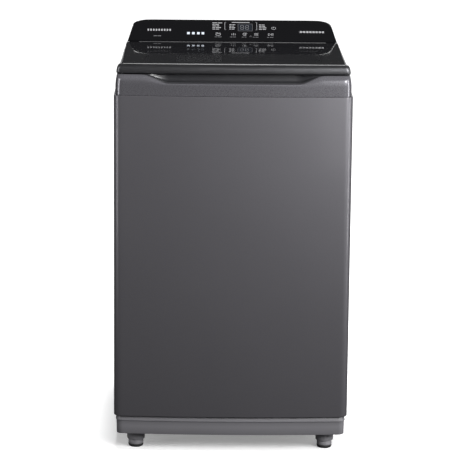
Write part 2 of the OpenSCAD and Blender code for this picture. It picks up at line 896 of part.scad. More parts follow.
module wash_basket() {
    color([0.80, 0.81, 0.82]) at_tub() difference() {
        translate([0, 0, basket_z0]) cylinder(h = basket_z1 - basket_z0, r = basket_r, $fn = fine);
        translate([0, 0, basket_z0 + 2.5]) cylinder(h = big, r = basket_r - basket_t, $fn = fine);
        translate([0, 0, basket_z0 - 1]) cylinder(h = 10, r = spin_shaft_r + 1);
    }
}

module balance_ring() {
    color(white_plastic) at_tub() rotate_extrude($fn = fine) polygon([
        [basket_r - basket_t - 0.1, 696], [basket_r - basket_t - 0.1, basket_z1], [basket_r + 1, basket_z1],
        [basket_r + 1, 744], [basket_r - 3, 751], [184, 752], [177, 748], [174, 740], [174, 712], [178, 704], [196, 696]
    ]);
}

module basket_hub() {
    color(zinc) at_tub() difference() {
        union() {
            translate([0, 0, 249]) cylinder(h = basket_z0 - 249, r = 40);
            translate([0, 0, 252]) cylinder(h = basket_z0 - 252, r = 130);
        }
        translate([0, 0, 240]) cylinder(h = 30, r = spin_shaft_r + shaft_gap);
    }
}

module spin_shaft() {
    color(zinc) at_tub() difference() {
        translate([0, 0, 130]) cylinder(h = basket_z0 - 130, r = spin_shaft_r);
        translate([0, 0, 129]) cylinder(h = 200, r = wash_shaft_r + shaft_gap);
    }
}

filter_z0 = 470;
filter_h = 150;

// A slotted lint filter box that clips to the basket wall
module lint_filter(s) {
    color(white_plastic) at_tub() difference() {
        block(s > 0 ? 188 : -202.5, s > 0 ? 202.5 : -188, -45, 45, filter_z0, filter_z0 + filter_h);
        block(s > 0 ? 190.5 : -203, s > 0 ? 203 : -190.5, -42, 42, filter_z0 + 3, filter_z0 + filter_h - 3);
        for (i = [0:5]) block(s > 0 ? 180 : -200, s > 0 ? 200 : -180, -34 + 12 * i, -28 + 12 * i,
            filter_z0 + 20, filter_z0 + filter_h - 20);
    }
}

module left_lint_filter() { lint_filter(-1); }
module right_lint_filter() { lint_filter(1); }

// ---------- pulsator, pulley, motor shaft ----------

pulsator_z0 = 262;
fin_t = 12;

module pulsator() {
    color(white_plastic) at_tub() difference() {
        union() {
            rotate_extrude($fn = fine) polygon([
                [0, 268], [30, 268], [36, 266], [120, 265], [156, pulsator_z0], [pulsator_r, pulsator_z0],
                [pulsator_r, 272], [150, 271], [100, 274], [60, 283], [38, 292], [0, 293]
            ]);
            for (i = [0:fin_count - 1]) rotate([0, 0, 360 * i / fin_count])
                translate([0, fin_t / 2, 0]) rotate([90, 0, 0]) linear_extrude(fin_t)
                    polygon([[26, 268], [150, 267], [156, 270], [150, 278], [110, 288], [40, 297], [26, 297]]);
            translate([0, 0, pulsator_z0]) cylinder(h = 12, r = 18);
        }
        translate([0, 0, pulsator_z0 - 1]) cylinder(h = 24, r = wash_shaft_r + shaft_gap);
        translate([0, 0, 292]) cylinder(h = 20, r = 25);
    }
}

module pulsator_cap() {
    color(zinc) at_tub() translate([0, 0, 292]) cylinder(h = 5, r = 24);
}

module wash_shaft() {
    color(zinc) at_tub() translate([0, 0, 132]) cylinder(h = 284 - 132, r = wash_shaft_r);
}

// A grooved belt pulley with the belt gap between its two rims
module grooved_pulley(groove_r, rim) {
    translate([0, 0, belt_z - 1]) cylinder(h = belt_h + 2, r = groove_r, $fn = 96);
    for (z = [belt_z - 4, belt_z + belt_h + 1]) translate([0, 0, z]) cylinder(h = 3, r = groove_r + rim, $fn = 96);
}

module drive_pulley() {
    color([0.72, 0.73, 0.74]) at_tub() {
        difference() {
            grooved_pulley(pulley_r, 7);
            for (a = [0:60:300]) rotate([0, 0, a]) translate([50, 0, 80]) cylinder(h = 40, r = 17);
        }
        translate([0, 0, 86]) cylinder(h = 40, r = input_shaft_r);
        translate([0, 0, 86]) cylinder(h = 8, r = 15, $fn = 6);
    }
}

module motor_pulley() {
    color(zinc) at_motor() {
        grooved_pulley(motor_pulley_r, 5);
        translate([0, 0, 89]) cylinder(h = 52, r = motor_shaft_r);
    }
}

cabinet();
rear_panel();
rear_panel_screws();
base_plinth();
rear_feet();
foot_locknuts();
corner_gussets();
suspension_rods();
rod_seats();
suspension_springs();
top_cover();
top_cover_screws();
console_housing();
console_panel();
display_window();
control_board();
detergent_housing();
inlet_valve();
water_level_sensor();
lid_switch();
lid_bumpers();
cord_gland();
drain_outlet();
drain_hose();
left_foot_screw();
left_foot_pad();
right_foot_screw();
right_foot_pad();
lid_frame();
lid_glass();
lid_front_trim();
lid_hinge_pins();
lid_magnet();
outer_tub();
tub_cover();
tub_bracket();
clutch_housing();
motor();
drain_valve();
drain_actuator();
damper_cups();
drive_belt();
wash_basket();
balance_ring();
basket_hub();
spin_shaft();
left_lint_filter();
right_lint_filter();
pulsator();
pulsator_cap();
wash_shaft();
drive_pulley();
motor_pulley();
detergent_drawer();
wash_button();
rinse_button();
spin_button();
program_button();
start_button();
power_button();
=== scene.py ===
# %% [markdown]
# # A top load washing machine
# The machine is a painted steel box with a tub hung inside it, closed by a glass lid and a sloped
# console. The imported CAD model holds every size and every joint. This file gives the pieces that
# show their real surfaces and finishes. Each new piece is a surface worked out with numpy, and each
# finish is worked out from noise and the place on the object, so that no picture file is needed.

import math

import bmesh
import bpy
import numpy as np
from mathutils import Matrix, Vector


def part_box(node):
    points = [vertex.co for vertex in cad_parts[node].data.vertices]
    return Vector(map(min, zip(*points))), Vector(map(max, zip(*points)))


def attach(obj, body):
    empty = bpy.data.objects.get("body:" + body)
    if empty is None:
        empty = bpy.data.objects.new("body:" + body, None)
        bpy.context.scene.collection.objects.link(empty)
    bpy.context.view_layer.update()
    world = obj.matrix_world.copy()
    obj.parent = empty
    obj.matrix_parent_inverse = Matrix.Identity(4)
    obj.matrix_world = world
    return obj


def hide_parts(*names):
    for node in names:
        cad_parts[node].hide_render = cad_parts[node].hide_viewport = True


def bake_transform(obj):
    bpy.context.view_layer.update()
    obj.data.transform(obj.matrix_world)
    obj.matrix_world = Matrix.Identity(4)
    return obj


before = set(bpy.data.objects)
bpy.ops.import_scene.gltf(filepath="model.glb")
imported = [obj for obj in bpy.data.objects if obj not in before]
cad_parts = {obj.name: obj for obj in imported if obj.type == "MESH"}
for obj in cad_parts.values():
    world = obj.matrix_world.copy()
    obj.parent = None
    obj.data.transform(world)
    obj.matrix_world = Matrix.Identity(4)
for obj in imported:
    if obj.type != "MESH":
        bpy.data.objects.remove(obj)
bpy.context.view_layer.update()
mm = 0.001


# %% [markdown]
# ## Places that the frame gives
# Every size below starts from the box of a CAD piece, so a changed CAD model carries the looks along.

# %% Read the boxes of the pieces
def low_high(node):
    """The lowest and highest corner of a CAD piece, as arrays."""
    low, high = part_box(node)
    return np.array(low), np.array(high)


cabinet_low, cabinet_high = low_high("cabinet")
cover_low, cover_high = low_high("top_cover")
plinth_low, plinth_high = low_high("base_plinth")
glass_low, glass_high = low_high("lid_glass")
trim_low, trim_high = low_high("lid_front_trim")
lid_low, lid_high = low_high("lid_frame")
console_low, console_high = low_high("console_housing")
pin_low, pin_high = low_high("lid_hinge_pins")
basket_low, basket_high = low_high("wash_basket")

bow = 10 * mm
corner_r = 16 * mm
tub_y = (basket_low[1] + basket_high[1]) / 2
basket_r = (basket_high[0] - basket_low[0]) / 2
hinge_y = (pin_low[1] + pin_high[1]) / 2
hinge_z = (pin_low[2] + pin_high[2]) / 2
slope = math.atan2(176, 300)  # the console rises 176 in a run of 300
seam_y, seam_z = 150 * mm, 902.5 * mm  # the foot of the slope, behind the glass

# %% [markdown]
# ## Camera, floor and light
# The machine stands on a white studio floor. A long lens from far away, tipped down by about twelve
# degrees, keeps its sides nearly upright. Soft lamps, the strongest at the right, give the paint its
# slow change from dark at the left to lighter at the right, and a narrow lamp at each side lights the
# rounded front corners. The sun lights the top and throws the shadow, but shows in no reflection. The
# floor lights nothing, and glows a little itself so that the shadow on it stays pale.

# %% Camera
def new_object(name, data):
    """An object in the scene that holds a camera, a light or a mesh."""
    made = bpy.data.objects.new(name, data)
    bpy.context.scene.collection.objects.link(made)
    return made


camera_data = bpy.data.cameras.new("camera")
camera_data.sensor_width = 36
camera_data.lens = 193.4
camera_data.clip_end = 50
camera = new_object("camera", camera_data)
pitch_down = math.radians(12.04)
turn_right = math.radians(-0.55)
aim_right = math.radians(0.137)
roll = math.radians(-0.52)
camera_back = 5.77
camera.location = (-camera_back * math.tan(-turn_right), -camera_back, 1.699)
camera.rotation_euler = (math.radians(90) - pitch_down, roll, turn_right + aim_right)
bpy.context.scene.camera = camera
print(f"camera {camera_back} m behind the origin, lens {camera_data.lens} mm")


# %% Floor, sky and lamps
def soft_lamp(name, place, aim, size, watts):
    """A rectangular studio lamp of size (width, height) at a place, turned to face a point."""
    data = bpy.data.lights.new(name, "AREA")
    data.shape = "RECTANGLE"
    data.size, data.size_y = size
    data.energy = watts
    lamp = new_object(name, data)
    lamp.location = place
    lamp.rotation_euler = (Vector(aim) - Vector(place)).to_track_quat("-Z", "Y").to_euler()


soft_lamp("key_right", (2.0, -2.6, 2.0), (0.1, -0.2, 0.65), (1.3, 1.6), 150)
soft_lamp("left_strip", (-1.9, -0.9, 1.1), (-0.1, -0.1, 0.5), (0.5, 2.0), 20)
soft_lamp("right_strip", (2.0, -0.7, 1.0), (0.1, -0.1, 0.45), (0.5, 2.0), 26)
soft_lamp("front_fill", (1.3, -3.6, 1.2), (0, -0.2, 0.5), (1.2, 1.6), 11)
soft_lamp("rear_fill", (0.4, 3.0, 2.4), (0, 0, 0.6), (2.4, 1.6), 30)
overhead = bpy.data.lights.new("overhead_sun", "SUN")
overhead.energy = 3.7
overhead.angle = math.radians(12)
overhead_lamp = new_object("overhead_sun", overhead)
overhead_lamp.rotation_euler = (math.radians(4), math.radians(3), 0)
overhead_lamp.visible_glossy = False

sky = bpy.data.worlds.new("studio")
bpy.context.scene.world = sky
sky.use_nodes = True
background = sky.node_tree.nodes["Background"]
background.inputs["Color"].default_value = (0.96, 0.97, 1.0, 1)
background.inputs["Strength"].default_value = 0.035
bpy.context.scene.view_settings.view_transform = "Standard"

floor_reach, floor_glow = 40, 0.27
floor_corners = [(x * floor_reach, y * floor_reach, 0) for x, y in ((-1, -1), (1, -1), (1, 1), (-1, 1))]
floor_mesh = bpy.data.meshes.new("floor")
floor_mesh.from_pydata(floor_corners, [], [(0, 1, 2, 3)])
floor = new_object("floor", floor_mesh)
floor.visible_diffuse = floor.visible_glossy = False
print("5 soft lamps, a sun and one floor")


# %% [markdown]
# ## Writing materials as sums
# A finish is easier to read as a sum than as a drawing of wires. `Wire` wraps one output of one node
# and turns +, -, * and power into Math nodes. `Finish.node` makes every other node: its settings go in
# first, then the values or wires of its sockets.

# %% The material kit
class Wire:
    """One output in a material's nodes, which Python sums can use."""

    def __init__(self, finish, socket):
        self.finish, self.socket = finish, socket

    def _math(self, operation, a, b):
        return self.finish.node("ShaderNodeMath", {"operation": operation}, {0: a, 1: b})

    def __add__(self, other): return self._math("ADD", self, other)
    def __radd__(self, other): return self._math("ADD", other, self)
    def __sub__(self, other): return self._math("SUBTRACT", self, other)
    def __rsub__(self, other): return self._math("SUBTRACT", other, self)
    def __mul__(self, other): return self._math("MULTIPLY", self, other)
    def __rmul__(self, other): return self._math("MULTIPLY", other, self)
    def power(self, other): return self._math("POWER", self, other)


class Finish:
    """A material that is being put together."""

    def __init__(self, name):
        self.material = bpy.data.materials.new(name)
        self.material.use_nodes = True
        self.tree = self.material.node_tree
        self.shader = self.tree.nodes["Principled BSDF"]

    def node(self, kind, settings=None, inputs=None, output=0):
        """Any node: settings are its own properties, inputs the values or wires of its sockets."""
        made = self.tree.nodes.new(kind)
        for key, value in (settings or {}).items():
            setattr(made, key, value)
        for key, value in (inputs or {}).items():
            self.feed(made.inputs[key], value)
        return Wire(self, made.outputs[output])

    def feed(self, socket, value):
        if isinstance(value, Wire):
            self.tree.links.new(value.socket, socket)
        else:
            socket.default_value = value

    def surface(self, **inputs):
        """Sets the sockets of the Principled shader; Base_Color stands for Base Color."""
        for key, value in inputs.items():
            self.feed(self.shader.inputs[key.replace("_", " ")], value)
        return self.material

    def place(self):
        return self.node("ShaderNodeTexCoord", output="Object")

    def xyz(self):
        split = self.node("ShaderNodeSeparateXYZ", inputs={0: self.place()})
        return [Wire(self, split.socket.node.outputs[k]) for k in range(3)]

    def noise(self, scale, detail=2.0, stretch=(1, 1, 1)):
        """Cloudy noise with about scale blobs per metre, stretched along an axis by a small factor."""
        where = self.node("ShaderNodeMapping", {}, {"Vector": self.place(), "Scale": stretch})
        return self.node("ShaderNodeTexNoise", {}, {"Vector": where, "Scale": scale, "Detail": detail})

    def blend(self, share, a, b):
        """Colour a where share is 0, colour b where it is 1."""
        return self.node("ShaderNodeMix", {"data_type": "RGBA"},
                         {"Factor": share, 6: (*a, 1) if isinstance(a, tuple) else a,
                          7: (*b, 1) if isinstance(b, tuple) else b}, output=2)

    def ramp(self, value, low, high):
        """0 below low, 1 above high, and even in between."""
        return self.node("ShaderNodeMapRange", {}, {"Value": value, "From Min": low, "From Max": high})

    def bumps(self, height, strength, depth):
        return self.node("ShaderNodeBump", {}, {"Height": height, "Strength": strength, "Distance": depth})


def plain_finish(name, colour, roughness, metallic=0.0, grain=900, grain_depth=0.05 * mm, speckle=0.06,
                 coat=0.0):
    """A moulded or cast surface: fine grain, slow clouds in the colour and a little uneven gloss."""
    f = Finish(name)
    cloud, fine = f.noise(9), f.noise(grain, 3)
    dark = tuple(c * (1 - speckle) for c in colour)
    light = tuple(min(1, c * (1 + speckle)) for c in colour)
    f.surface(Base_Color=f.blend(cloud * 0.6 + fine * 0.4, dark, light),
              Roughness=roughness - 0.06 + cloud * 0.08 + fine * 0.04,
              Metallic=metallic, Coat_Weight=coat, Coat_Roughness=0.05,
              Normal=f.bumps(fine, 0.25, grain_depth))
    return f.material


print("material kit ready")

# %% [markdown]
# ## The finishes
# Cabinet paint is a dark grey with a fine metal flake under a thin clear coat. The fascia is moulded
# plastic in the same colour, a little brighter. Console and lid are glossy and black. Inside, the
# basket is brushed stainless steel, and the tub and its covers are pale plastic with a slow mottle.


# %% Paint, fascia and nose
def metallic_paint(name, colour, roughness, flake=0.35, coat=0.25):
    """Dark paint with metal flake: cells of random brightness, seen as a faint sparkle."""
    f = Finish(name)
    cells = f.node("ShaderNodeTexVoronoi", {}, {"Vector": f.place(), "Scale": 1500.0})
    sparkle = f.node("ShaderNodeSeparateColor", {}, {"Color": Wire(f, cells.socket.node.outputs["Color"])})
    cloud = f.noise(5, 3)
    orange_peel = f.noise(260, 2)
    bright = tuple(c * 1.35 for c in colour)
    f.surface(Base_Color=f.blend(sparkle * flake + cloud * 0.15, colour, bright),
              Roughness=roughness - 0.03 + sparkle * 0.06 + cloud * 0.03,
              Metallic=0.55, Coat_Weight=coat, Coat_Roughness=0.12,
              Normal=f.bumps(orange_peel, 0.08, 0.05 * mm))
    return f.material


cabinet_paint = metallic_paint("cabinet_paint", (0.105, 0.102, 0.112), 0.42)
fascia_paint = metallic_paint("fascia_plastic", (0.142, 0.139, 0.153), 0.27, flake=0.25)


def brushed_nose():
    """Dark satin aluminium, with fine lines along X from noise stretched a hundred times."""
    f = Finish("brushed_nose")
    lines = f.noise(900, 2, (0.01, 1, 1))
    f.surface(Base_Color=f.blend(lines, (0.060, 0.060, 0.064), (0.125, 0.125, 0.132)),
              Roughness=0.34 + lines * 0.10, Metallic=0.9,
              Normal=f.bumps(lines, 0.10, 0.03 * mm))
    return f.material


nose_metal = brushed_nose()
print("paints:", cabinet_paint.name, fascia_paint.name, nose_metal.name)


# %% Glossy black, glass and printing
def gloss_film(name, colour=(0.0035, 0.0035, 0.004), roughness=0.07):
    """A high-gloss black film: nearly flat, with faint dust and the smallest waviness."""
    f = Finish(name)
    dust, wave = f.noise(1400, 2), f.noise(14, 1)
    f.surface(Base_Color=f.blend(dust.power(4), colour, tuple(c * 3 for c in colour)),
              Roughness=roughness + dust * 0.04, Coat_Weight=0.35, Coat_Roughness=0.03,
              Normal=f.bumps(wave, 0.02, 0.4 * mm))
    return f.material


console_film = gloss_film("console_film")


def smoked_glass():
    """Smoked glass with a black printed border. Clearer inside the border, where the mouth shows through."""
    f = Finish("smoked_glass")
    x, y, _ = f.xyz()
    middle_y = float(glass_low[1] + glass_high[1]) / 2
    across = f.node("ShaderNodeMath", {"operation": "ABSOLUTE"}, {0: x})
    along = f.node("ShaderNodeMath", {"operation": "ABSOLUTE"}, {0: y - middle_y})
    border_x, border_y, soft = 52 * mm, 40 * mm, 6 * mm
    half_x = float(glass_high[0]) - border_x
    half_y = float(glass_high[1] - glass_low[1]) / 2 - border_y
    in_window = (1 - f.ramp(across, half_x, half_x + soft)) * (1 - f.ramp(along, half_y, half_y + soft))
    smear = f.noise(7, 3)
    f.surface(Base_Color=f.blend(in_window, (0.006, 0.006, 0.007), (0.010, 0.010, 0.012)),
              Roughness=0.035 + smear * 0.035, Alpha=1 - in_window * 0.30,
              Coat_Weight=0.5, Coat_Roughness=0.02, Specular_IOR_Level=0.6)
    return f.material


lid_smoked = smoked_glass()


def printed_ink(name, colour, glow=0.0):
    """Printed strokes or a lit spot behind the film. The glow is emission: on a lit spot it is the lamp behind the
    film, on print it is a faint painted glow.
    """
    f = Finish(name)
    f.surface(Base_Color=f.blend(f.noise(600), colour, tuple(c * 0.85 for c in colour)),
              Roughness=0.35 + f.noise(500) * 0.1, Emission_Color=(*colour, 1), Emission_Strength=glow)
    return f.material


# white and grey print get a faint painted glow of their own, though ink gives no light
glowing_white_ink = printed_ink("glowing_white_ink", (0.30, 0.30, 0.31), 0.03)
glowing_grey_ink = printed_ink("glowing_grey_ink", (0.11, 0.11, 0.115), 0.01)
lit_spot = printed_ink("lit_spot", (0.50, 0.54, 0.60), 0.07)
window_tint = gloss_film("display_tint", (0.010, 0.012, 0.016), 0.05)
print("films, glass and inks ready")


# %% Steel, plastic and rubber inside and below
def zinc_sheet():
    """Zinc plated sheet: patches of pale crystals, each a cell of its own grey."""
    f = Finish("zinc_sheet")
    cells = f.node("ShaderNodeTexVoronoi", {}, {"Vector": f.place(), "Scale": 85.0})
    patch = f.node("ShaderNodeSeparateColor", {}, {"Color": Wire(f, cells.socket.node.outputs["Color"])})
    fine = f.noise(500, 3)
    f.surface(Base_Color=f.blend(patch * 0.6 + fine * 0.4, (0.40, 0.41, 0.42), (0.58, 0.59, 0.61)),
              Roughness=0.38 + patch * 0.10 + fine * 0.05, Metallic=0.85,
              Normal=f.bumps(fine, 0.12, 0.05 * mm))
    return f.material


def brushed_stainless(name, stretch):
    """Stainless sheet with brush lines that run along the axis whose stretch is small."""
    f = Finish(name)
    lines, cloud = f.noise(700, 2, stretch), f.noise(6, 2)
    f.surface(Base_Color=f.blend(lines * 0.7 + cloud * 0.3, (0.46, 0.465, 0.48), (0.68, 0.685, 0.70)),
              Roughness=0.24 + lines * 0.14 + cloud * 0.05, Metallic=1.0,
              Normal=f.bumps(lines, 0.12, 0.03 * mm))
    return f.material


zinc = zinc_sheet()
stainless = brushed_stainless("brushed_stainless", (1, 1, 0.02))
shaft_steel = brushed_stainless("turned_steel", (1, 1, 6))
cast_metal = plain_finish("cast_aluminium", (0.46, 0.47, 0.48), 0.46, metallic=0.85, grain=420,
                          grain_depth=0.25 * mm, speckle=0.14)
black_plastic = plain_finish("black_plastic", (0.022, 0.022, 0.024), 0.46, grain=1500, speckle=0.10)
mouth_plastic = plain_finish("mouth_plastic", (0.030, 0.030, 0.033), 0.33, grain=1500, speckle=0.08)
plinth_plastic = plain_finish("plinth_plastic", (0.150, 0.147, 0.158), 0.44, grain=1300, speckle=0.08)
cup_plastic = plain_finish("foot_cup_plastic", (0.24, 0.235, 0.25), 0.42, grain=1300)
white_plastic = plain_finish("white_plastic", (0.72, 0.73, 0.75), 0.36, grain=1100, speckle=0.04)
tub_plastic = plain_finish("tub_plastic", (0.58, 0.59, 0.60), 0.48, grain=500, grain_depth=0.15 * mm,
                           speckle=0.07)
black_rubber = plain_finish("black_rubber", (0.016, 0.016, 0.017), 0.72, grain=700, grain_depth=0.12 * mm,
                            speckle=0.18)
hose_rubber = plain_finish("hose_rubber", (0.26, 0.27, 0.28), 0.55, grain=600, speckle=0.10)
board_green = plain_finish("board_green", (0.02, 0.10, 0.045), 0.30, grain=260, grain_depth=0.2 * mm,
                           speckle=0.30, coat=0.4)
motor_black = plain_finish("motor_lacquer", (0.030, 0.030, 0.032), 0.38, metallic=0.3, grain=500,
                           speckle=0.15, coat=0.2)
motor_steel = plain_finish("motor_steel", (0.42, 0.42, 0.43), 0.36, metallic=0.9, grain=800)
spring_wire = plain_finish("spring_wire", (0.20, 0.20, 0.205), 0.34, metallic=0.9, grain=1200)
floor_finish = plain_finish("studio_floor", (0.90, 0.90, 0.90), 0.75, grain=60, speckle=0.01,
                            grain_depth=0.01 * mm)
floor_shader = floor_finish.node_tree.nodes["Principled BSDF"]
floor_shader.inputs["Emission Color"].default_value = (1, 1, 1, 1)
floor_shader.inputs["Emission Strength"].default_value = floor_glow
floor_mesh.materials.append(floor_finish)
print(len(bpy.data.materials), "finishes")

# %% [markdown]
# ## Turning arrays into meshes
# A lofted piece is a grid of points: one way runs along a path, the other round a profile. These
# helpers place the grid's points with whole arrays and join neighbours into four-sided faces.


# %% Mesh helpers
def grid_faces(rows, columns, wrap_rows, wrap_columns, offset=0):
    """Faces of a grid: point (i, j) joins (i+1, j), (i+1, j+1) and (i, j+1), and wraps where asked."""
    i = np.arange(rows if wrap_rows else rows - 1)[:, None]
    j = np.arange(columns if wrap_columns else columns - 1)[None, :]
    i2, j2 = (i + 1) % rows, (j + 1) % columns
    corners = [i * columns + j, i2 * columns + j, i2 * columns + j2, i * columns + j2]
    return np.stack(np.broadcast_arrays(*corners), -1).reshape(-1, 4) + offset


def add_piece(name, parts, finish, body, replaced=(), sharp=32, weld=0.004 * mm, wall=0):
    """Makes one object from parts, welds its seams and turns its faces outwards. A part is (points, faces),
    or (points, faces, k) to take the finish at place k. A wall above 0 is given to an open skin."""
    points, faces, paints, count = [], [], [], 0
    for part_points, part_faces, *paint in parts:
        flat = np.asarray(part_points, float).reshape(-1, 3)
        points.append(flat)
        faces += [tuple(int(k) + count for k in f) for f in part_faces]
        paints += [paint[0] if paint else 0] * len(part_faces)
        count += len(flat)
    mesh = bpy.data.meshes.new(name)
    mesh.from_pydata(np.concatenate(points).tolist(), [], faces)
    mesh.polygons.foreach_set("material_index", paints)
    work = bmesh.new()
    work.from_mesh(mesh)
    bmesh.ops.remove_doubles(work, verts=work.verts, dist=weld)
    bmesh.ops.dissolve_degenerate(work, edges=work.edges, dist=weld)
    bmesh.ops.recalc_face_normals(work, faces=work.faces)
    work.to_mesh(mesh)
    work.free()
    mesh.shade_smooth()
    mesh.set_sharp_from_angle(angle=math.radians(sharp))
    for one in finish if isinstance(finish, (list, tuple)) else [finish]:
        mesh.materials.append(one)
    piece = new_object(name, mesh)
    if wall:
        thicken = piece.modifiers.new("wall", "SOLIDIFY")
        thicken.thickness, thicken.offset = wall, -1
    if body:
        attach(piece, body)
    if replaced:
        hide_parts(*([replaced] if isinstance(replaced, str) else replaced))
    return piece


def softened(points, radius, steps=5):
    """A closed outline with each corner p replaced by (1-t)^2 s + 2t(1-t) p + t^2 e. Its ends s and e lie
    a radius away from the corner."""
    p = np.asarray(points, float)
    r = np.broadcast_to(np.asarray(radius, float), (len(p),))[:, None]
    back, on = np.roll(p, 1, 0) - p, np.roll(p, -1, 0) - p
    back_len = np.linalg.norm(back, axis=1, keepdims=True)
    on_len = np.linalg.norm(on, axis=1, keepdims=True)
    s = p + back / back_len * np.minimum(r, 0.46 * back_len)
    e = p + on / on_len * np.minimum(r, 0.46 * on_len)
    t = np.linspace(0, 1, steps)[None, :, None]
    curve = (1 - t) ** 2 * s[:, None] + 2 * t * (1 - t) * p[:, None] + t * t * e[:, None]
    return curve.reshape(-1, 2)


def smooth_step(x, a, b):
    """0 below a, 1 above b and 3t^2 - 2t^3 between them."""
    t = np.clip((x - a) / (b - a), 0, 1)
    return t * t * (3 - 2 * t)


turn_n, side_n, back_n = 14, 30, 33
back_start = 2 * turn_n + side_n
back_end = back_start + back_n


def plan_loop(half_w, y_front, y_back, r_front, r_back, bow_out=0.0, front_n=72):
    """A box plan with round corners, from the front right corner round to the left one and the front. The
    front is pushed out by bow_out (1 - (x / half_w)^2). Points back_start to back_end lie on the back edge."""
    def corner(cx, cy, r, start):
        a = np.radians(np.linspace(start, start + 90, turn_n))
        return np.c_[cx + r * np.cos(a), cy + r * np.sin(a)]

    def run(a, b, n):
        return a + (b - a) * np.linspace(0, 1, n + 2)[1:-1, None]

    rf, rb = max(r_front, 0.3 * mm), max(r_back, 0.3 * mm)
    c1 = corner(half_w - rf, y_front + rf, rf, -90)
    c2 = corner(half_w - rb, y_back - rb, rb, 0)
    c3 = corner(rb - half_w, y_back - rb, rb, 90)
    c4 = corner(rf - half_w, y_front + rf, rf, 180)
    loop = np.concatenate([c1, run(c1[-1], c2[0], side_n), c2, run(c2[-1], c3[0], back_n), c3,
                           run(c3[-1], c4[0], side_n), c4, run(c4[-1], c1[0], front_n)])
    near_front = 1 - smooth_step(loop[:, 1], y_front + 60 * mm, y_front + 150 * mm)
    loop[:, 1] -= bow_out * np.clip(1 - (loop[:, 0] / half_w) ** 2, 0, 1) * near_front
    return loop


def at_height(loop, z):
    """The points of a plan, lifted to the height z."""
    return np.c_[loop, np.full(len(loop), z)]


def loft(profile, plan):
    """Grid of points: profile rows are (inset, z), and plan(inset) gives the loop drawn in by that much."""
    return np.stack([at_height(plan(inset), z) for inset, z in profile], 1)


def skin(points, wrap=False, windows=()):
    """One open sheet of faces over a grid. A window (i0, i1, j0, j1) leaves out the faces between its lines."""
    rows, columns = points.shape[:2]
    keep = np.ones((rows if wrap else rows - 1, columns - 1), bool)
    for i0, i1, j0, j1 in windows:
        keep[i0:i1, j0:j1] = False
    return points, grid_faces(rows, columns, wrap, False)[keep.ravel()]


def plate(front, back):
    """Two grids of the same shape, joined round their edges into one closed skin."""
    rows, columns = front.shape[:2]
    count = rows * columns
    edge = np.concatenate([np.arange(columns), np.arange(2, rows + 1) * columns - 1,
                           count - 2 - np.arange(columns - 1), np.arange(rows - 2, 0, -1) * columns])
    after = np.roll(edge, -1)
    face = grid_faces(rows, columns, False, False)
    sides = np.c_[edge, after, after + count, edge + count]
    return np.stack([front, back]), np.concatenate([face, face + count, sides])


def ring_piece(profile, plan):
    """A closed ring whose cross-section is the closed profile."""
    points = loft(profile, plan)
    return points, grid_faces(*points.shape[:2], True, True)


def lathe(profile, centre, n=96, closed=True):
    """Turns a profile of (radius, z) about a vertical line through centre: x = r cos a, y = r sin a."""
    profile = np.asarray(profile, float)
    a = np.linspace(0, 2 * np.pi, n, endpoint=False)[:, None]
    x = centre[0] + profile[None, :, 0] * np.cos(a)
    y = centre[1] + profile[None, :, 0] * np.sin(a)
    points = np.stack([x, y, np.broadcast_to(profile[None, :, 1], x.shape)], -1)
    return points, grid_faces(n, len(profile), True, closed)


def bar_along_x(profile, x0, x1, edge=0.6 * mm):
    """A closed (y, z) profile drawn from x0 to x1, its two ends drawn in by a small edge and closed."""
    profile = np.asarray(profile, float)
    middle = profile.mean(0)
    reach = np.abs(profile - middle).max()
    stations = [(x0, 1 - edge / reach), (x0 + edge, 1), (x1 - edge, 1), (x1, 1 - edge / reach)]
    rings = [np.c_[np.full(len(profile), x), middle + (profile - middle) * s] for x, s in stations]
    points = np.stack(rings)
    n = len(profile)
    caps = [tuple(range(n)), tuple(range(3 * n, 4 * n))]
    return points, [*map(tuple, grid_faces(4, n, False, True)), *caps]


def tube(path, radius, n=10):
    """A round tube along a path; radius may change from point to point. Its ends are closed."""
    path = np.asarray(path, float)
    ahead = np.gradient(path, axis=0)
    ahead /= np.linalg.norm(ahead, axis=1, keepdims=True)
    up = np.where(np.abs(ahead[:, 2:3]) > 0.95, [[1.0, 0, 0]], [[0, 0, 1.0]])
    side = np.cross(ahead, up)
    side /= np.linalg.norm(side, axis=1, keepdims=True)
    rise = np.cross(side, ahead)
    a = np.linspace(0, 2 * np.pi, n, endpoint=False)[None, :, None]
    r = np.broadcast_to(np.asarray(radius, float), (len(path),))[:, None, None]
    points = path[:, None] + r * (np.cos(a) * side[:, None] + np.sin(a) * rise[:, None])
    last = (len(path) - 1) * n
    caps = [tuple(range(n)), tuple(range(last, last + n))]
    return points, [*map(tuple, grid_faces(len(path), n, False, True)), *caps]


def closed_ends(points):
    """A strip of closed profiles that doesn't wrap along its path, with both ends closed."""
    rows, n = points.shape[:2]
    last = (rows - 1) * n
    return points, [*map(tuple, grid_faces(rows, n, False, True)), tuple(range(n)), tuple(range(last, last + n))]


def box_part(x0, x1, y0, y1, z0, z1, edge=0.8 * mm):
    """A small block with bevelled upright and end edges, for stops, tabs and plates."""
    profile = softened([(y0, z0), (y1, z0), (y1, z1), (y0, z1)], edge, 4)
    return bar_along_x(profile, x0, x1, edge)


print("mesh helpers ready")

# %% [markdown]
# ## Cabinet skin
# The cabinet is one painted sheet, bent round the two front corners and folded in at its top, bottom
# and rear edges. So it is modelled as that sheet: an open path seen from above, carried up a profile
# with a small bend at each hem, and given its thickness afterwards.

# %% Cabinet
sheet_t = 0.8 * mm
hem = 14 * mm
flange = 22 * mm


def cabinet_path(inset):
    """Left rear flange, left side, bowed front, right side and right rear flange, all drawn in by inset."""
    half, back = cabinet_high[0] - inset, cabinet_high[1] - inset
    loop = plan_loop(half, cabinet_low[1] + bow + inset, back, corner_r - inset, 2.5 * mm - inset, bow)
    flange_x = cabinet_high[0] - flange
    return np.concatenate([[[-flange_x, back]], loop[back_end:], loop[:back_start], [[flange_x, back]]])


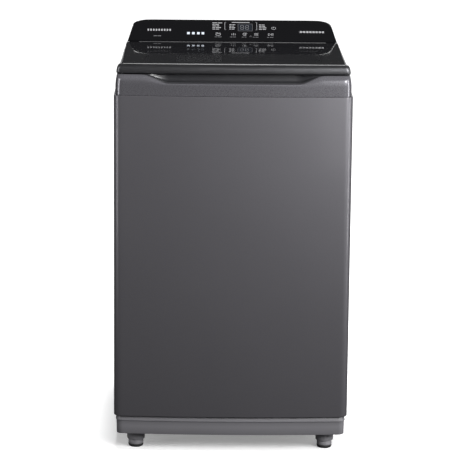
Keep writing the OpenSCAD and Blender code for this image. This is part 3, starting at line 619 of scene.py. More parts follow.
bend = np.array([(0, 1.2), (0.1, 0.7), (0.35, 0.35), (0.7, 0.1), (1.2, 0)]) * mm
low_z, high_z = cabinet_low[2], cabinet_high[2]
cabinet_profile = [(hem, low_z), *[(i, low_z + z) for i, z in bend[::-1]],
                   *[(i, high_z - z) for i, z in bend], (hem, high_z)]
cabinet_skin = add_piece("cabinet_skin", [skin(loft(cabinet_profile, cabinet_path))], cabinet_paint, "cabinet",
                         "cabinet", wall=sheet_t)
print("cabinet skin:", len(cabinet_skin.data.polygons), "faces")

# %% [markdown]
# The rear panel is a flat zinc sheet with six pressed ribs, which stop it from drumming. A rib is a
# bump added to the sheet's y: a smooth hill across the rib, faded out at its two ends.

# %% Rear panel
rear_low, rear_high = low_high("rear_panel")
rib_centres = (216 + 100 * np.arange(6)) * mm
rib_half, rib_end, rib_rise = 8 * mm, 205 * mm, 2 * mm
around_rib = np.linspace(-rib_half, rib_half, 11)
panel_z = np.sort(np.concatenate([[rear_low[2], rear_high[2]], (rib_centres[:, None] + around_rib).ravel()]))
end_x = np.linspace(rib_end - 12 * mm, rib_end, 7)
panel_x = np.concatenate([[-rear_high[0]], -end_x[::-1], np.linspace(-180, 180, 13) * mm, end_x, [rear_high[0]]])
x, z = np.meshgrid(panel_x, panel_z, indexing="ij")
nearest_rib = np.abs(z[..., None] - rib_centres).min(-1)
rise = rib_rise * smooth_step(-nearest_rib, -rib_half, -0.35 * rib_half)
rise *= smooth_step(-np.abs(x), -rib_end, 12 * mm - rib_end)
back_skin = np.stack([x, rear_high[1] - rib_rise + rise, z], -1)
add_piece("rear_panel_sheet", [plate(back_skin, back_skin - [0, sheet_t, 0])], zinc, "cabinet",
          "rear_panel")
print("rear panel with", len(rib_centres), "ribs")

# %% [markdown]
# ## Plinth and feet
# The moulded plinth closes the foot of the cabinet. Its upper edge is a ledge that leans back and
# catches the light, with a fine step under it. It is a ring: one closed profile carried round the
# plan. Each foot is turned about its own upright line, as a lathe would turn it.

# %% Plinth
foot_x = 220 * mm
foot_rows = (-222 * mm, 212 * mm)
plinth_front = plinth_low[1] + bow


def plinth_plan(inset):
    return plan_loop(plinth_high[0] - inset, plinth_front + inset, plinth_high[1] - inset,
                     max(corner_r - inset, 2 * mm), 2 * mm, bow)


plinth_profile = np.array([
    (3.4, 41), (2.6, 41.3), (2.2, 42), (1.8, 60), (1.6, 71.4), (1.3, 72.2), (0.5, 72.7), (0.1, 73.3), (0, 74.2),
    (3.4, 83), (4.2, 84.4), (5.6, 85), (34, 85), (34, 82), (7, 82), (5.4, 80.5), (5.2, 41.4), (4.6, 41)]) * mm
boss_profile = np.array([(24, 84), (24, 43), (23.4, 41.6), (22, 41), (14, 41), (13, 41.6), (12.6, 44), (12.6, 60),
                         (5.4, 60), (5.4, 84)]) * mm
bosses = [lathe(boss_profile, (side * foot_x, row), 48) for side in (-1, 1) for row in foot_rows]
add_piece("plinth", [ring_piece(plinth_profile, plinth_plan), *bosses], plinth_plastic, "cabinet",
          "base_plinth")

# %% Feet
cup_profile = np.array([
    (5.3, 20), (17, 19.6), (19.2, 18.6), (20, 18.4), (20.4, 19), (20.7, 26), (21.2, 36), (21.6, 39.2), (21.2, 40.2),
    (20, 40.4), (18.6, 40), (17.6, 38), (17, 34), (11, 33.4), (5.3, 33.4)]) * mm
sole_profile = np.array([
    (0.01, 0), (14.5, 0), (15.6, 0.3), (16.2, 1.2), (17, 2.2), (17.4, 4), (17.5, 6), (17.1, 7), (0.01, 7)]) * mm
socket_profile = np.array([
    (0.01, 7), (16.6, 7), (17, 7.6), (17.5, 8.6), (17.5, 10.4), (17.4, 15.5), (17, 17.2), (16, 18),
    (0.01, 18)]) * mm
stem_z = np.arange(33.4, 77, 0.4)
thread = 4.7 + 0.3 * np.sin(2 * np.pi * (stem_z - 33.4) / 1.6)
stem_profile = np.r_[[(0.01, 33.4)], np.c_[thread, stem_z], [(3.6, 77.6), (0.01, 77.8)]] * mm
rear_profile = np.array([
    (0.01, 0), (14.5, 0), (15.8, 0.4), (16.4, 1.6), (17.3, 3), (17.5, 6), (17.5, 30), (17.2, 38), (16.8, 41.4),
    (0.01, 41.4)]) * mm
for side, word in ((-1, "left"), (1, "right")):
    centre = (side * foot_x, foot_rows[0])
    add_piece(f"{word}_foot_cup", [lathe(cup_profile, centre, 64), (*lathe(stem_profile, centre, 24), 1)],
              [cup_plastic, zinc], f"{word}_foot", f"{word}_foot_screw")
    add_piece(f"{word}_foot_rubber", [lathe(sole_profile, centre, 64), (*lathe(socket_profile, centre, 64), 1)],
              [black_rubber, cup_plastic], f"{word}_foot", f"{word}_foot_pad")
add_piece("rear_foot_rubbers", [lathe(rear_profile, (side * foot_x, foot_rows[1]), 48) for side in (-1, 1)],
          black_rubber, "cabinet", "rear_feet")
print("plinth, 2 screw feet and 2 fixed feet")

# %% [markdown]
# ## Top cover
# One moulding forms the fascia, the deck round the lid and the collar that guides the washing into
# the basket. Two profiles are used. The plain one rolls over a shoulder to the deck. The other one
# turns in early, low on the front, runs back as the floor of the finger recess and climbs to the
# deck. A share that is 1 in the middle and 0 past the recess's ends blends one into the other.

# %% Fascia, deck and mouth collar
recess_ends = (146 * mm, 206 * mm)
plain_rows = np.array([  # side inset, front inset, height
    (0.6, 0.6, 833), (0, 0, 833.8), (0, 0, 845), (0, 0, 857), (0, 0, 866), (0.1, 0.6, 869.5), (0.3, 2.2, 872.4),
    (0.5, 4.8, 874.9), (0.8, 8.4, 877), (1.0, 12.6, 878.4), (1.2, 17, 879), (1.6, 17.6, 879), (2, 18.2, 879),
    (2.4, 18.8, 879), (2.8, 19.4, 879), (3.2, 20, 879), (3.6, 20.6, 879), (4, 21.2, 879)]) * mm
recess_rows = np.array([  # front inset, height
    (0.6, 833), (0, 833.8), (0, 842), (0, 850), (0, 856), (0, 858.5), (0.1, 859.6), (0.35, 860.3), (0.8, 860.8),
    (1.4, 861.05), (2.2, 861.2), (12, 861.5), (24, 862), (31, 863), (33.4, 865.5), (34, 870), (34, 878.4),
    (34.6, 879)]) * mm
collar_rows = np.array([  # distance outside the mouth, height
    (6, 879), (2.4, 879), (1.2, 878.7), (0.4, 877.9), (0, 876.6), (0, 869), (0, 855), (0, 841), (0, 815), (0, 797),
    (0.4, 795.7), (1.4, 795)]) * mm
fascia_edge = 10  # the row where the fascia ends and the deck starts
cover_front = cover_low[1] + bow
cover_back_in = 3.7 * mm
mouth_half, mouth_front, mouth_back = 200 * mm, -226 * mm, 118 * mm
mouth_front_r, mouth_back_r = 110 * mm, 30 * mm
drawer_columns, drawer_edges = (back_start + 19, back_start + 29), (-29 * mm, -131 * mm)


def cover_row(side_in, front_in, height, recess_in, recess_height):
    """One row round the cover: its front part is a share of the recess row and the rest of the plain row."""
    loop = plan_loop(cover_high[0] - side_in, cover_front + front_in, cover_high[1] - side_in - cover_back_in,
                     max(corner_r - side_in, 2 * mm), 3 * mm, bow)
    narrow = (2.2 + 4.4 * smooth_step(loop[:, 1], -220 * mm, 240 * mm)) * mm
    narrow *= smooth_step(height, 852 * mm, 880 * mm) * smooth_step(np.abs(loop[:, 0]), 150 * mm, 260 * mm)
    loop[:, 0] -= np.sign(loop[:, 0]) * narrow
    share = smooth_step(-np.abs(loop[:, 0]), -recess_ends[1], -recess_ends[0]) * (loop[:, 1] < cover_front + 0.05)
    loop[:, 1] += share * (recess_in - front_in)
    return np.c_[loop, height + share * (recess_height - height)]


def mouth_row(outside, height):
    """One row round the mouth; two points of its back edge are put at the edges of the drawer's opening."""
    loop = plan_loop(mouth_half + outside, mouth_front - outside, mouth_back + outside,
                     mouth_front_r + outside, mouth_back_r + outside)
    loop[list(drawer_columns), 0] = drawer_edges
    return at_height(loop, height)


cover_rows = [cover_row(*a, *b) for a, b in zip(plain_rows, recess_rows)]
cover_points = np.stack(cover_rows + [mouth_row(*row) for row in collar_rows], 1)
first_collar = len(cover_rows) - fascia_edge
fascia_part = skin(cover_points[:, :fascia_edge + 1], True)
deck_part = skin(cover_points[:, fascia_edge:], True, [(*drawer_columns, first_collar + 5, first_collar + 7)])
top_cover_skin = add_piece("top_cover_skin", [fascia_part, (*deck_part, 1)], [fascia_paint, mouth_plastic],
                           "cabinet", "top_cover", wall=2.6 * mm)
print("top cover:", len(top_cover_skin.data.polygons), "faces")

# %% [markdown]
# Beside the lid run two raised rails, and behind it stand the two bosses that hold the hinge pins.
# They are drawn along one axis from a rounded profile. Two tabs reach down over the rear panel.

# %% Rails, hinge bosses and tabs
rail_inner = 253.2 * mm
rail_profile = softened(np.array([(253.2, 878), (263, 878), (262.6, 883), (260.6, 890.5), (258.6, 896),
                                  (257, 898.6), (253.2, 899)]) * mm, [0, 0, 1.2, 2.5, 2, 0.8, 0.8] * np.array(mm), 5)
rail_y = np.array([-243, -242.7, -185, -120, -50, 16, 83, 149.6, 149.9]) * mm
rail_width = np.array([0.97, 1, 0.86, 0.68, 0.55, 0.44, 0.36, 0.28, 0.25])
boss_angle = np.radians(np.linspace(0, 180, 25))
boss_r, boss_x = 8.5 * mm, (226 * mm, 246 * mm)
hinge_profile = np.r_[[(hinge_y + boss_r, 878 * mm)],
                      np.c_[hinge_y + boss_r * np.cos(boss_angle), hinge_z + boss_r * np.sin(boss_angle)],
                      [(hinge_y - boss_r, 878 * mm)]]
rail_out = rail_inner + (rail_profile[:, 0] - rail_inner) * rail_width[:, None]
rail_rings = np.stack([rail_out, np.broadcast_to(rail_y[:, None], rail_out.shape),
                       np.broadcast_to(rail_profile[:, 1], rail_out.shape)], -1)
rails = [closed_ends(rail_rings * (side, 1, 1)) for side in (-1, 1)]
hinge_bosses = [bar_along_x(hinge_profile, *sorted(side * x for x in boss_x), 0.8 * mm) for side in (-1, 1)]
tabs = [box_part((x - 12) * mm, (x + 12) * mm, 258 * mm, 265.7 * mm, 812 * mm, 850 * mm, 1.5 * mm)
        for x in (-225, 225)]
add_piece("lid_rails", rails, mouth_plastic, "cabinet")
add_piece("hinge_bosses", hinge_bosses, mouth_plastic, "cabinet")
add_piece("rear_tabs", tabs, fascia_paint, "cabinet")
print("2 rails, 2 hinge bosses, 2 tabs")

# %% [markdown]
# ## Lid
# A black frame carries a sheet of smoked glass, and a rounded metal nose closes its front edge. The
# nose follows the bow of the front and turns back at both ends, where it shows its brightest spots.

# %% Nose
nose_rows = np.array([  # side inset, front inset, height above the nose's foot
    (1.6, 4.5, 0), (0.7, 2.2, 0.2), (0.2, 0.8, 0.8), (0, 0.2, 1.8), (0, 0, 3), (0.2, 0, 6), (0.6, 0.2, 9),
    (1.2, 0.7, 12), (2.1, 1.7, 14.8), (3.2, 3.2, 17), (4.4, 5.2, 18.9), (5.5, 7.6, 20.2), (6.4, 10.4, 20.9),
    (7, 13, 21)]) * mm
nose_back = trim_high[1]
nose_bow = 8 * mm
nose_n = 90


def nose_curve(side_in, front_in):
    """From the left end round the left corner, along the bowed front and back to the right end."""
    half, front = trim_high[0] - side_in, trim_low[1] + nose_bow + front_in
    loop = plan_loop(half, min(front, nose_back - 0.4 * mm), nose_back + 40 * mm, 9 * mm, 1 * mm, nose_bow,
                     nose_n)
    path = np.concatenate([loop[-nose_n - turn_n:], loop[:turn_n]])
    path[:, 1] = np.minimum(path[:, 1], nose_back - 0.02 * mm)
    return np.concatenate([[[-half, nose_back]], path, [[half, nose_back]]])


nose_front = np.stack([at_height(nose_curve(a, b), trim_low[2] + h) for a, b, h in nose_rows], 1)
nose_rear = nose_front.copy()
nose_rear[..., 1] = nose_back
add_piece("lid_nose", [plate(nose_front, nose_rear)], nose_metal, "lid", "lid_front_trim")
print(f"nose {nose_front[..., 0].max() - nose_front[..., 0].min():.3f} m wide")

# %% Lid frame and rear rail
frame_back = 123.5 * mm
window_half, window_front, window_back = 205 * mm, -212 * mm, 94.5 * mm
window_front_r, window_back_r = 22 * mm, 16 * mm


def lid_plan(inset):
    corner = max(4 * mm - inset, 1 * mm)
    return plan_loop(lid_high[0] - inset, lid_low[1] + inset, frame_back - inset, corner, corner)


def window_plan(outside):
    return plan_loop(window_half + outside, window_front - outside, window_back + outside,
                     window_front_r + outside, window_back_r + outside)


outer_rows = np.array([(6, 881), (1, 881), (0.3, 881.3), (0, 882), (0, 896.8), (0.6, 897.4)]) * mm
inner_rows = np.array([(4, 897.4), (1, 897.3), (0, 896.6), (0, 884), (0.6, 883), (3, 882.4)]) * mm
frame_points = np.stack([*loft(outer_rows, lid_plan).transpose(1, 0, 2),
                         *loft(inner_rows, window_plan).transpose(1, 0, 2)], 1)
barrel_angle = np.radians(np.linspace(95, -95, 33))
barrel_r, rail_front = 10.2 * mm, 123.3 * mm
rail_section = np.r_[[(rail_front, 901.7 * mm)],
                     np.c_[hinge_y + barrel_r * np.cos(barrel_angle), hinge_z + barrel_r * np.sin(barrel_angle)],
                     [(rail_front, 881.3 * mm)]]
rail_spans = ((-252, -247.4), (-224.6, 224.6), (247.4, 252))
rear_rail = [bar_along_x(rail_section, a * mm, b * mm, 0.5 * mm) for a, b in rail_spans]
frame_part = (frame_points, grid_faces(*frame_points.shape[:2], True, True))
add_piece("lid_rim", [frame_part, *rear_rail], mouth_plastic, "lid", "lid_frame")

# %% Glass
glass_rows = np.array([(4, 897.6), (0.9, 897.6), (0.3, 897.8), (0, 898.3), (0, 901.1), (0.25, 901.7),
                       (0.8, 902), (4, 902)]) * mm
glass_edge = loft(glass_rows, lid_plan)
glass_edge[..., 2] = np.clip(glass_edge[..., 2], glass_low[2], glass_high[2])
count, rows = glass_edge.shape[:2]
glass_caps = [tuple(np.arange(count) * rows), tuple(np.arange(count) * rows + rows - 1)]
glass_part = (glass_edge, [*map(tuple, grid_faces(count, rows, True, False)), *glass_caps])
add_piece("smoked_lid", [glass_part], lid_smoked, "lid", "lid_glass")
print("lid frame, rear rail and glass")

# %% [markdown]
# ## Console
# The console is a wedge whose top slopes towards the user. From above it narrows to the back, and its
# two rear corners are rolled. It is lofted from front to back: each station is one section across the
# machine, with the half width of the plan and the height of the side view at that place, and rolled
# upper edges. The glossy panel and its keys lie in a shallow bed, which is part of every section.

# %% Console housing
console_back = console_high[1]
seam_half, bend_y, back_half = 252.5 * mm, 205 * mm, 211 * mm
ridge_y = 220.7 * mm
bed_turn, panel_run = 196 * mm, 217 * mm
bed = 3.3 * mm
small_roll = 3.0 * mm


def quarter_ellipse(y, start, end):
    """1 before start, falling as a quarter ellipse to 0 at end."""
    t = np.clip((y - start) / (end - start), 0, 1)
    return np.sqrt(1 - t * t)


def console_half(y):
    """Half width of the plan: a slight taper, then a quarter ellipse 30 mm wide."""
    taper = seam_half + (back_half + 30 * mm - seam_half) * (y - seam_y) / (bend_y - seam_y)
    return np.where(y < bend_y, taper, back_half + 30 * mm * quarter_ellipse(y, bend_y, console_back))


def roll_width(y):
    """The rolled edge is narrow beside the panel and opens, as an ellipse turned round, towards the ridge."""
    return small_roll + 42 * mm * (1 - quarter_ellipse(y, bed_turn, ridge_y + 0.8 * mm))


def panel_half(y):
    """Half width of the bed: 4 mm inside the plan, then a shorter quarter ellipse."""
    taper = 248.5 * mm - 11.5 * mm * (y - seam_y) / (bed_turn - seam_y)
    return np.where(y < bed_turn, taper, back_half + 26 * mm * quarter_ellipse(y, bed_turn, panel_run)) + 0.2 * mm


def console_top(y):
    """Height of the side view: the slope, then a rolled rear edge that drops to the back wall."""
    t = np.clip((y - ridge_y) / (console_back - ridge_y), 0, 1)
    return seam_z + (np.minimum(y, ridge_y) - seam_y) * math.tan(slope) - 44 * mm * (1 - np.sqrt(1 - t ** 2.2))


board_y, board_half = (158.8 * mm, 211.8 * mm), 160 * mm
bed_y = [seam_y + 0.42 * mm, seam_y + 0.46 * mm, *board_y, panel_run, panel_run + 0.05 * mm]
corner_y = bed_turn + (ridge_y - bed_turn) * np.sin(np.linspace(0, np.pi / 2, 16))
arc_y = ridge_y + (console_back - ridge_y) * np.sin(np.linspace(0, np.pi / 2, 24))
station_y = np.unique(np.concatenate([[seam_y, seam_y + 0.2 * mm], bed_y, np.linspace(154, 195, 8) * mm, corner_y,
                                      arc_y]))
station_y = station_y[np.insert(np.diff(station_y) > 0.03 * mm, 0, True)]
half, top = console_half(station_y), console_top(station_y)
roll_w, roll_h = roll_width(station_y), small_roll + (roll_width(station_y) - small_roll) * 0.37
in_bed = (station_y > seam_y + 0.44 * mm) & (station_y < panel_run + 0.02 * mm)
bed_half = np.minimum(panel_half(station_y), half - roll_w - 0.3 * mm)
drop = bed * in_bed
quarter = np.radians(np.linspace(0, 90, 11))
foot_z = np.full_like(half, console_low[2])
left = [(-half, foot_z)]
left += [(-half + roll_w * (1 - math.cos(a)), top - roll_h * (1 - math.sin(a))) for a in quarter]
left += [(-bed_half, top), (-bed_half, top - drop), (np.full_like(half, -board_half), top - drop)]
section = left + [(-a, b) for a, b in left[::-1]]
housing = np.stack([np.stack([x, station_y, z], -1) for x, z in section], 1)
bed_rows = [int(np.argmin(np.abs(station_y - y))) for y in board_y]
board_window = (bed_rows[0], bed_rows[1], len(left) - 1, len(left))
columns = housing.shape[1]
front_cap = tuple(range(columns))
back_cap = tuple(range((len(station_y) - 1) * columns, len(station_y) * columns))
housing_points, housing_faces = skin(housing, False, [board_window])
housing_part = (housing_points, [*map(tuple, housing_faces), front_cap, back_cap])
console_skin = add_piece("console_skin", [housing_part], console_film, "cabinet",
                         "console_housing", wall=2.2 * mm)
print("console:", len(station_y), "stations of", columns, "points")

# %% [markdown]
# ## Marks on the panel
# The panel carries printed marks, lit spots and a symbol on each key. Here they say nothing: lines of
# print are plain dashes and the symbols are simple strokes. A mark is a ribbon along a path, a tenth
# of a millimetre thick, so it is real geometry that stays on the panel when the view changes. The
# symbols ride with their keys, and go down with them.

# %% Ribbons on the slope
panel_up = np.array([0, math.cos(slope), math.sin(slope)])
panel_out = np.array([0, -math.sin(slope), math.cos(slope)])
print_t = 0.12 * mm
key_face = 0.4 * mm


def on_panel(flat, lift):
    """A point (x, s) in millimetres goes x across, s up the slope and lift out of the panel."""
    flat = np.asarray(flat, float) * mm
    return (np.array([0, seam_y, seam_z]) + flat[..., :1] * [1, 0, 0] + flat[..., 1:] * panel_up
            + lift * panel_out)


def ribbon(path, width, lift=0.02 * mm):
    """A flat strip of a width along a path of (x, s) points: each point moves half the width either way."""
    path = np.asarray(path, float)
    ahead = np.gradient(path, axis=0)
    ahead /= np.linalg.norm(ahead, axis=1, keepdims=True)
    aside = ahead[:, ::-1] * [-1, 1] * width / 2
    grid = np.stack([path + aside, path - aside], 1)
    return plate(on_panel(grid, lift + print_t), on_panel(grid, lift))


def dash(x0, x1, s, height, lift=0.02 * mm):
    return ribbon([(x0, s), (x1, s)], height, lift)


def arc_path(x, s, r, start, end, steps=20):
    a = np.radians(np.linspace(start, end, steps))
    return np.c_[x + r * np.cos(a), s + r * np.sin(a)]


def print_lines(x0, x1, s_values, height, rng):
    """Lines of print as dashes of uneven length, each with one small gap."""
    parts = []
    for line in s_values:
        end = x0 + (x1 - x0) * rng.uniform(0.62, 1.0)
        gap = x0 + (end - x0) * rng.uniform(0.35, 0.6)
        parts += [dash(x0, gap - 0.8, line, height), dash(gap + 0.8, end, line, height)]
    return parts


# %% Print on the panel
rng = np.random.default_rng(11)
key_x = (-34, 3, 31, 58, 92)
bright_marks = [dash(x, x + 3.6, 41, 7.5) for x in np.arange(-205, -152, 6.6)]
bright_marks += [dash(162, 221, 36.5, 1.2)] + [dash(x, x + 5, 36.5, 6.5) for x in np.arange(164, 218, 7.6)]
bright_marks += print_lines(-48, -24, np.arange(45.5, 71, 6.2), 2.4, rng)
for x0, x1 in ((-7, 9), (65, 83)):
    bright_marks += print_lines(x0, x1, np.arange(46, 64, 5.8), 2.4, rng)
bright_marks += [ribbon([(-15, 44), (-18, 44.2), (-18, 72.8), (-15, 73)], 0.9),
                 ribbon([(56.5, 43), (59.5, 43.2), (59.5, 72.8), (56.5, 73)], 0.9), dash(-1, 42, 72.6, 2.2)]
grey_marks = print_lines(-190, -165, [17.5], 2.6, rng)
for x in key_x:
    grey_marks += print_lines(x - 8, x + 9, [15], 1.9, rng)
grey_marks += [ribbon([(41.8, 16.6), (47.4, 16.6), (44.6, 21), (41.8, 16.6)], 0.8)]
frame_x, frame_s = (14.2, 48.8), (39.2, 66.8)
grey_marks += [ribbon([(x, frame_s[0]), (x, frame_s[1])], 0.7) for x in frame_x]
grey_marks += [dash(*frame_x, s, 0.7) for s in frame_s]
add_piece("panel_print", bright_marks, glowing_white_ink, "cabinet", weld=0.001 * mm)
add_piece("panel_fine_print", grey_marks, glowing_grey_ink, "cabinet", weld=0.001 * mm)
lit_squares = [dash(x - 3.2, x + 3.2, 28.8, 8.6) for x in (-106, -94, -82, -71)]
window_top = 0.05 * mm
digit_bars = [dash(x, x + 6, level, 1.3, window_top) for x in (21, 33) for level in (44.8, 53, 61.2)]
digit_bars += [ribbon([(x + end, low + 1), (x + end, low + 7.2)], 1.3, window_top)
               for x in (21, 33) for end in (-0.4, 6.4) for low in (44.8, 53)]
add_piece("lit_squares", lit_squares, lit_spot, "cabinet", weld=0.001 * mm)
add_piece("display_bars", digit_bars, glowing_grey_ink, "cabinet", weld=0.001 * mm)
print(len(bright_marks) + len(grey_marks), "printed marks,", len(lit_squares), "lit squares")

# %% Symbols on the keys
key_s, power_at = 25.5, (100.5, 50)


def key_symbol(name, body, paths, width=1.1):
    return add_piece(name, [ribbon(path, width, key_face + 0.02 * mm) for path in paths], glowing_white_ink, body,
                     weld=0.001 * mm)


def wave(x, s, half_w, height):
    """One wave: s + height sin(2 pi t) over its width."""
    t = np.linspace(0, 1, 16)
    return np.c_[x - half_w + 2 * half_w * t, s + height * np.sin(2 * np.pi * t)]


wash_x, rinse_x, spin_x, program_x, start_x = key_x
key_symbol("wash_symbol", "wash_key",
           [arc_path(wash_x, key_s, 5.8, -180, 0), wave(wash_x, key_s + 1.5, 5.8, 0.9),
            wave(wash_x, key_s + 4.4, 5.8, 0.9)])
key_symbol("rinse_symbol", "rinse_key",
           [[(rinse_x + x, key_s - 4), (rinse_x + x, key_s + 4 - abs(x) * 0.4)] for x in (-4, 0, 4)])
key_symbol("spin_symbol", "spin_key",
           [arc_path(spin_x, key_s, 5.2, 20, 300), arc_path(spin_x, key_s, 2.2, 200, 480)])
key_symbol("program_symbol", "program_key",
           [[(program_x - 5, key_s + d), (program_x + 5, key_s + d)] for d in (-3.6, 0, 3.6)])
arrow_x = start_x - 5
arrow = [(arrow_x, key_s - 4.4), (arrow_x, key_s + 4.4), (start_x + 1.4, key_s), (arrow_x, key_s - 4.4)]
bars = [[(start_x + x, key_s - 4.2), (start_x + x, key_s + 4.2)] for x in (3.4, 6.4)]
key_symbol("start_symbol", "start_key", [arrow, *bars])
power_x, power_s = power_at
key_symbol("power_symbol", "power_key",
           [arc_path(*power_at, 4.8, 120, 420), [(power_x, power_s + 0.6), (power_x, power_s + 5.6)]])
print("6 key symbols")

# %% [markdown]
# ## Basket and pulsator
# The basket is a stainless sheet rolled into a drum and pierced with hundreds of small round holes,
# with soft upright flutes pressed into it. One hole in its square of sheet is a small grid: eight
# points round the hole, eight on a ring about it, eight on the square. The same grid is placed in
# every cell of the drum at once, and the squares' shared points are welded.

# %% Perforated basket
basket_centre = np.array([0.0, tub_y])
cells_round, cell_rows = 60, 13
cell_angle, cell_rise = 2 * np.pi / cells_round, 23 * mm
pierced_low = basket_low[2] + 62 * mm
pierced_high = pierced_low + cell_rows * cell_rise
drum_top = basket_high[2]
flutes, flute_depth = 6, 3.0 * mm
floor_r = 24 * mm


def drum_point(angle, z):
    """A point of the drum wall: its radius is less by a flute's depth where a cosine round the drum is high."""
    fade = smooth_step(z, basket_low[2] + 35 * mm, pierced_low)
    fade = fade * (1 - smooth_step(z, pierced_high, drum_top - 40 * mm))
    press = flute_depth * fade * (0.5 + 0.5 * np.cos(flutes * angle)) ** 3
    r = basket_r - press
    return np.stack([basket_centre[0] + r * np.cos(angle), basket_centre[1] + r * np.sin(angle), z], -1)


eighth = np.arange(8) * np.pi / 4
on_square = np.c_[np.sign(np.round(np.cos(eighth), 6)), np.sign(np.round(np.sin(eighth), 6))]
on_circle = np.c_[np.cos(eighth), np.sin(eighth)]
half_cell = np.array([cell_angle / 2, cell_rise / 2])
hole_r, lip_r = 2.0 * mm, 3.4 * mm
to_angle = np.array([1 / basket_r, 1])
cell = np.stack([on_circle * hole_r * to_angle, on_circle * lip_r * to_angle, on_square * half_cell])
column, row = np.meshgrid(np.arange(cells_round), np.arange(cell_rows), indexing="ij")
middles = np.stack([column * cell_angle, pierced_low + (row + 0.5) * cell_rise], -1).reshape(-1, 1, 1, 2)
spots = middles + cell
pierced = drum_point(spots[..., 0], spots[..., 1])
one_cell = grid_faces(3, 8, False, True)
pierced_faces = (one_cell[None] + 24 * np.arange(len(spots))[:, None, None]).reshape(-1, 4)


def drum_band(z_values):
    """A plain band of the drum, with a column at each corner and middle of the cells."""
    angle = (np.arange(2 * cells_round) * cell_angle / 2)[:, None]
    return drum_point(*np.broadcast_arrays(angle, np.asarray(z_values)[None, :])), 2 * cells_round


lower, count = drum_band(np.linspace(basket_low[2] + floor_r, pierced_low, 5))
upper, _ = drum_band(np.linspace(pierced_high, drum_top, 9))
floor_arc = np.radians(np.linspace(0, 90, 9))
bottom_rows = [(basket_r - floor_r * (1 - math.cos(a)), basket_low[2] + floor_r * (1 - math.sin(a)))
               for a in floor_arc] + [(150 * mm, basket_low[2]), (60 * mm, basket_low[2]), (17 * mm, basket_low[2])]
bottom, bottom_faces = lathe(bottom_rows, basket_centre, count, closed=False)
drum_parts = [(pierced, pierced_faces), (lower, grid_faces(count, 5, True, False)),
              (upper, grid_faces(count, 9, True, False)), (bottom, bottom_faces)]
basket_drum = add_piece("basket_drum", drum_parts, stainless, "basket", "wash_basket", sharp=60,
                        weld=0.02 * mm, wall=0.8 * mm)
print("basket:", len(spots), "holes,", len(basket_drum.data.polygons), "faces")

# %% [markdown]
# The pulsator is a shallow moulded disc with rounded fins that push the water. It is a surface over
# radius and angle: a dish profile, plus a smooth ridge where the angle is near one of the fins.

# %% Pulsator
fin_count, disc_n = 6, 360
dish = np.array([(25.2, 291.9), (25.6, 293.2), (27, 293.2), (38, 292), (48, 287.5), (60, 283), (80, 277.6),
                 (100, 274), (125, 272.2), (150, 271), (158, 271.2), (164, 272), (167.2, 271.6), (168, 270), (167.6, 266),
                 (165, 263)]) * mm
fin_top = np.interp(dish[:, 0], np.array([25, 30, 110, 150, 159]) * mm,
                    np.array([293.2, 296.8, 288, 278, 271.2]) * mm)
angle = np.linspace(0, 2 * np.pi, disc_n, endpoint=False)[:, None]
from_fin = (angle * fin_count / (2 * np.pi) + 0.5) % 1 - 0.5
aside = np.abs(from_fin) * 2 * np.pi / fin_count * dish[None, :, 0]
ridge = np.maximum(fin_top - dish[:, 1], 0)[None, :] * np.exp(-(aside / (9 * mm)) ** 4)
disc_z = dish[None, :, 1] + ridge
disc = np.stack([dish[:, 0] * np.cos(angle), tub_y + dish[:, 0] * np.sin(angle), disc_z], -1)
under_rows = [(165 * mm, 263 * mm), (120 * mm, 266 * mm), (20 * mm, 267 * mm)]
under, under_faces = lathe(under_rows, basket_centre, disc_n, closed=False)
seat, seat_faces = lathe([(8.4 * mm, 291.9 * mm), (25.2 * mm, 291.9 * mm)], basket_centre, disc_n, closed=False)
core, core_faces = lathe([(20 * mm, 267 * mm), (8.4 * mm, 267 * mm), (8.4 * mm, 291.9 * mm)], basket_centre, disc_n,
                         closed=False)
disc_parts = [(disc, grid_faces(disc_n, len(dish), True, False)), (under, under_faces), (seat, seat_faces),
              (core, core_faces)]
add_piece("pulsator_disc", disc_parts, tub_plastic, "pulsator", "pulsator", sharp=50,
          weld=0.01 * mm)
cap_profile = np.array([(0.01, 297), (12, 296.9), (20, 296.3), (23, 295.2), (24, 293.6), (24, 292.1), (0.01, 292.1)])
add_piece("pulsator_badge", [lathe(cap_profile * mm, basket_centre, 64)], stainless, "pulsator",
          "pulsator_cap")
print("pulsator with", fin_count, "fins")

# %% [markdown]
# ## Springs and drain hose
# The tub hangs on four springs whose lower ends stay with the cabinet's rods while their upper ends
# follow the tub. The drain hose is ribbed so that it can bend: one end is on the tub's valve, the
# other on the cabinet. Both are tubes along a path, and neither is attached to a body.

# %% Springs
spring_low, spring_high = low_high("suspension_springs")
wire_r, coil_r, turns = 1.75 * mm, 12.5 * mm, 7
around = np.linspace(0, 2 * np.pi * turns, turns * 28 + 1)
reach = wire_r + coil_r
spring_xy = [(x, y) for x in (spring_low[0] + reach, spring_high[0] - reach)
             for y in (spring_low[1] + reach, spring_high[1] - reach)]
coil_z = np.linspace(spring_low[2] + wire_r, spring_high[2] - wire_r, len(around))
coils = [tube(np.c_[x + coil_r * np.cos(around), y + coil_r * np.sin(around), coil_z], wire_r, 8)
         for x, y in spring_xy]
hanging_springs = add_piece("hanging_springs", coils, spring_wire, None, "suspension_springs",
                            sharp=70)
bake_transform(hanging_springs)
print(len(coils), "springs of", turns, "turns")

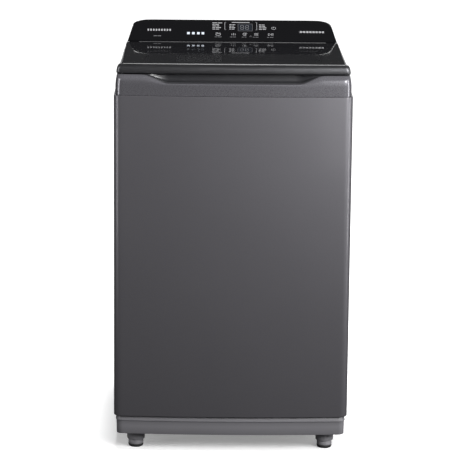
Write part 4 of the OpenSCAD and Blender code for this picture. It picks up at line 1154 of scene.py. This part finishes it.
# %% Ribbed drain hose
hose_low, hose_high = low_high("drain_hose")
hose_r, cuff = 13.5 * mm, 13.7 * mm
hose_rings, ribs = 300, 50
t = np.linspace(0, 1, hose_rings)
hose_run = hose_high[1] - hose_low[1]
hose_y = hose_low[1] + hose_run * t
ease = 0.5 - 0.5 * np.cos(np.pi * np.clip((hose_y - hose_low[1] - cuff) / (hose_run - 2 * cuff), 0, 1))
hose_path = np.c_[hose_high[0] - hose_r + (hose_low[0] - hose_high[0] + 2 * hose_r) * ease, hose_y,
                  hose_high[2] - hose_r + (hose_low[2] - hose_high[2] + 2 * hose_r) * ease]
on_cuff = np.minimum(hose_y - hose_low[1], hose_high[1] - hose_y) < cuff
hose_radius = np.where(on_cuff, hose_r - 0.3 * mm, hose_r - 1.3 * mm + 1.0 * mm * np.cos(2 * np.pi * t * ribs))
ribbed_hose = add_piece("ribbed_hose", [tube(hose_path, hose_radius, 28)], hose_rubber, None,
                        "drain_hose", sharp=60)
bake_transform(ribbed_hose)
print("drain hose with", ribs, "ribs")

# %% [markdown]
# ## Finishes for the pieces that keep their CAD shape
# A CAD piece whose shape is right stays as it is and takes one of the finishes above.

# %% Finishes by piece
cad_finishes = {
    zinc: ["rear_panel_screws", "top_cover_screws", "foot_locknuts", "corner_gussets", "lid_magnet", "tub_bracket"],
    shaft_steel: ["suspension_rods", "lid_hinge_pins", "spin_shaft", "wash_shaft"],
    console_film: ["console_panel", "wash_button", "rinse_button", "spin_button", "program_button",
                   "start_button", "power_button"],
    window_tint: ["display_window"],
    board_green: ["control_board"],
    white_plastic: ["rod_seats", "detergent_housing", "inlet_valve", "water_level_sensor", "left_lint_filter",
                    "right_lint_filter", "detergent_drawer", "balance_ring"],
    tub_plastic: ["outer_tub", "tub_cover", "drain_valve", "drain_actuator"],
    black_plastic: ["lid_switch", "drain_outlet", "cord_gland", "damper_cups"],
    black_rubber: ["lid_bumpers", "drive_belt"],
    cast_metal: ["clutch_housing", "basket_hub", "drive_pulley"],
    motor_black: ["motor"],
    motor_steel: ["motor_pulley"],
}
for finish, names in cad_finishes.items():
    for name in names:
        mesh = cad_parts[name].data
        mesh.materials.clear()
        mesh.materials.append(finish)
print("finished CAD pieces:", sum(len(names) for names in cad_finishes.values()))
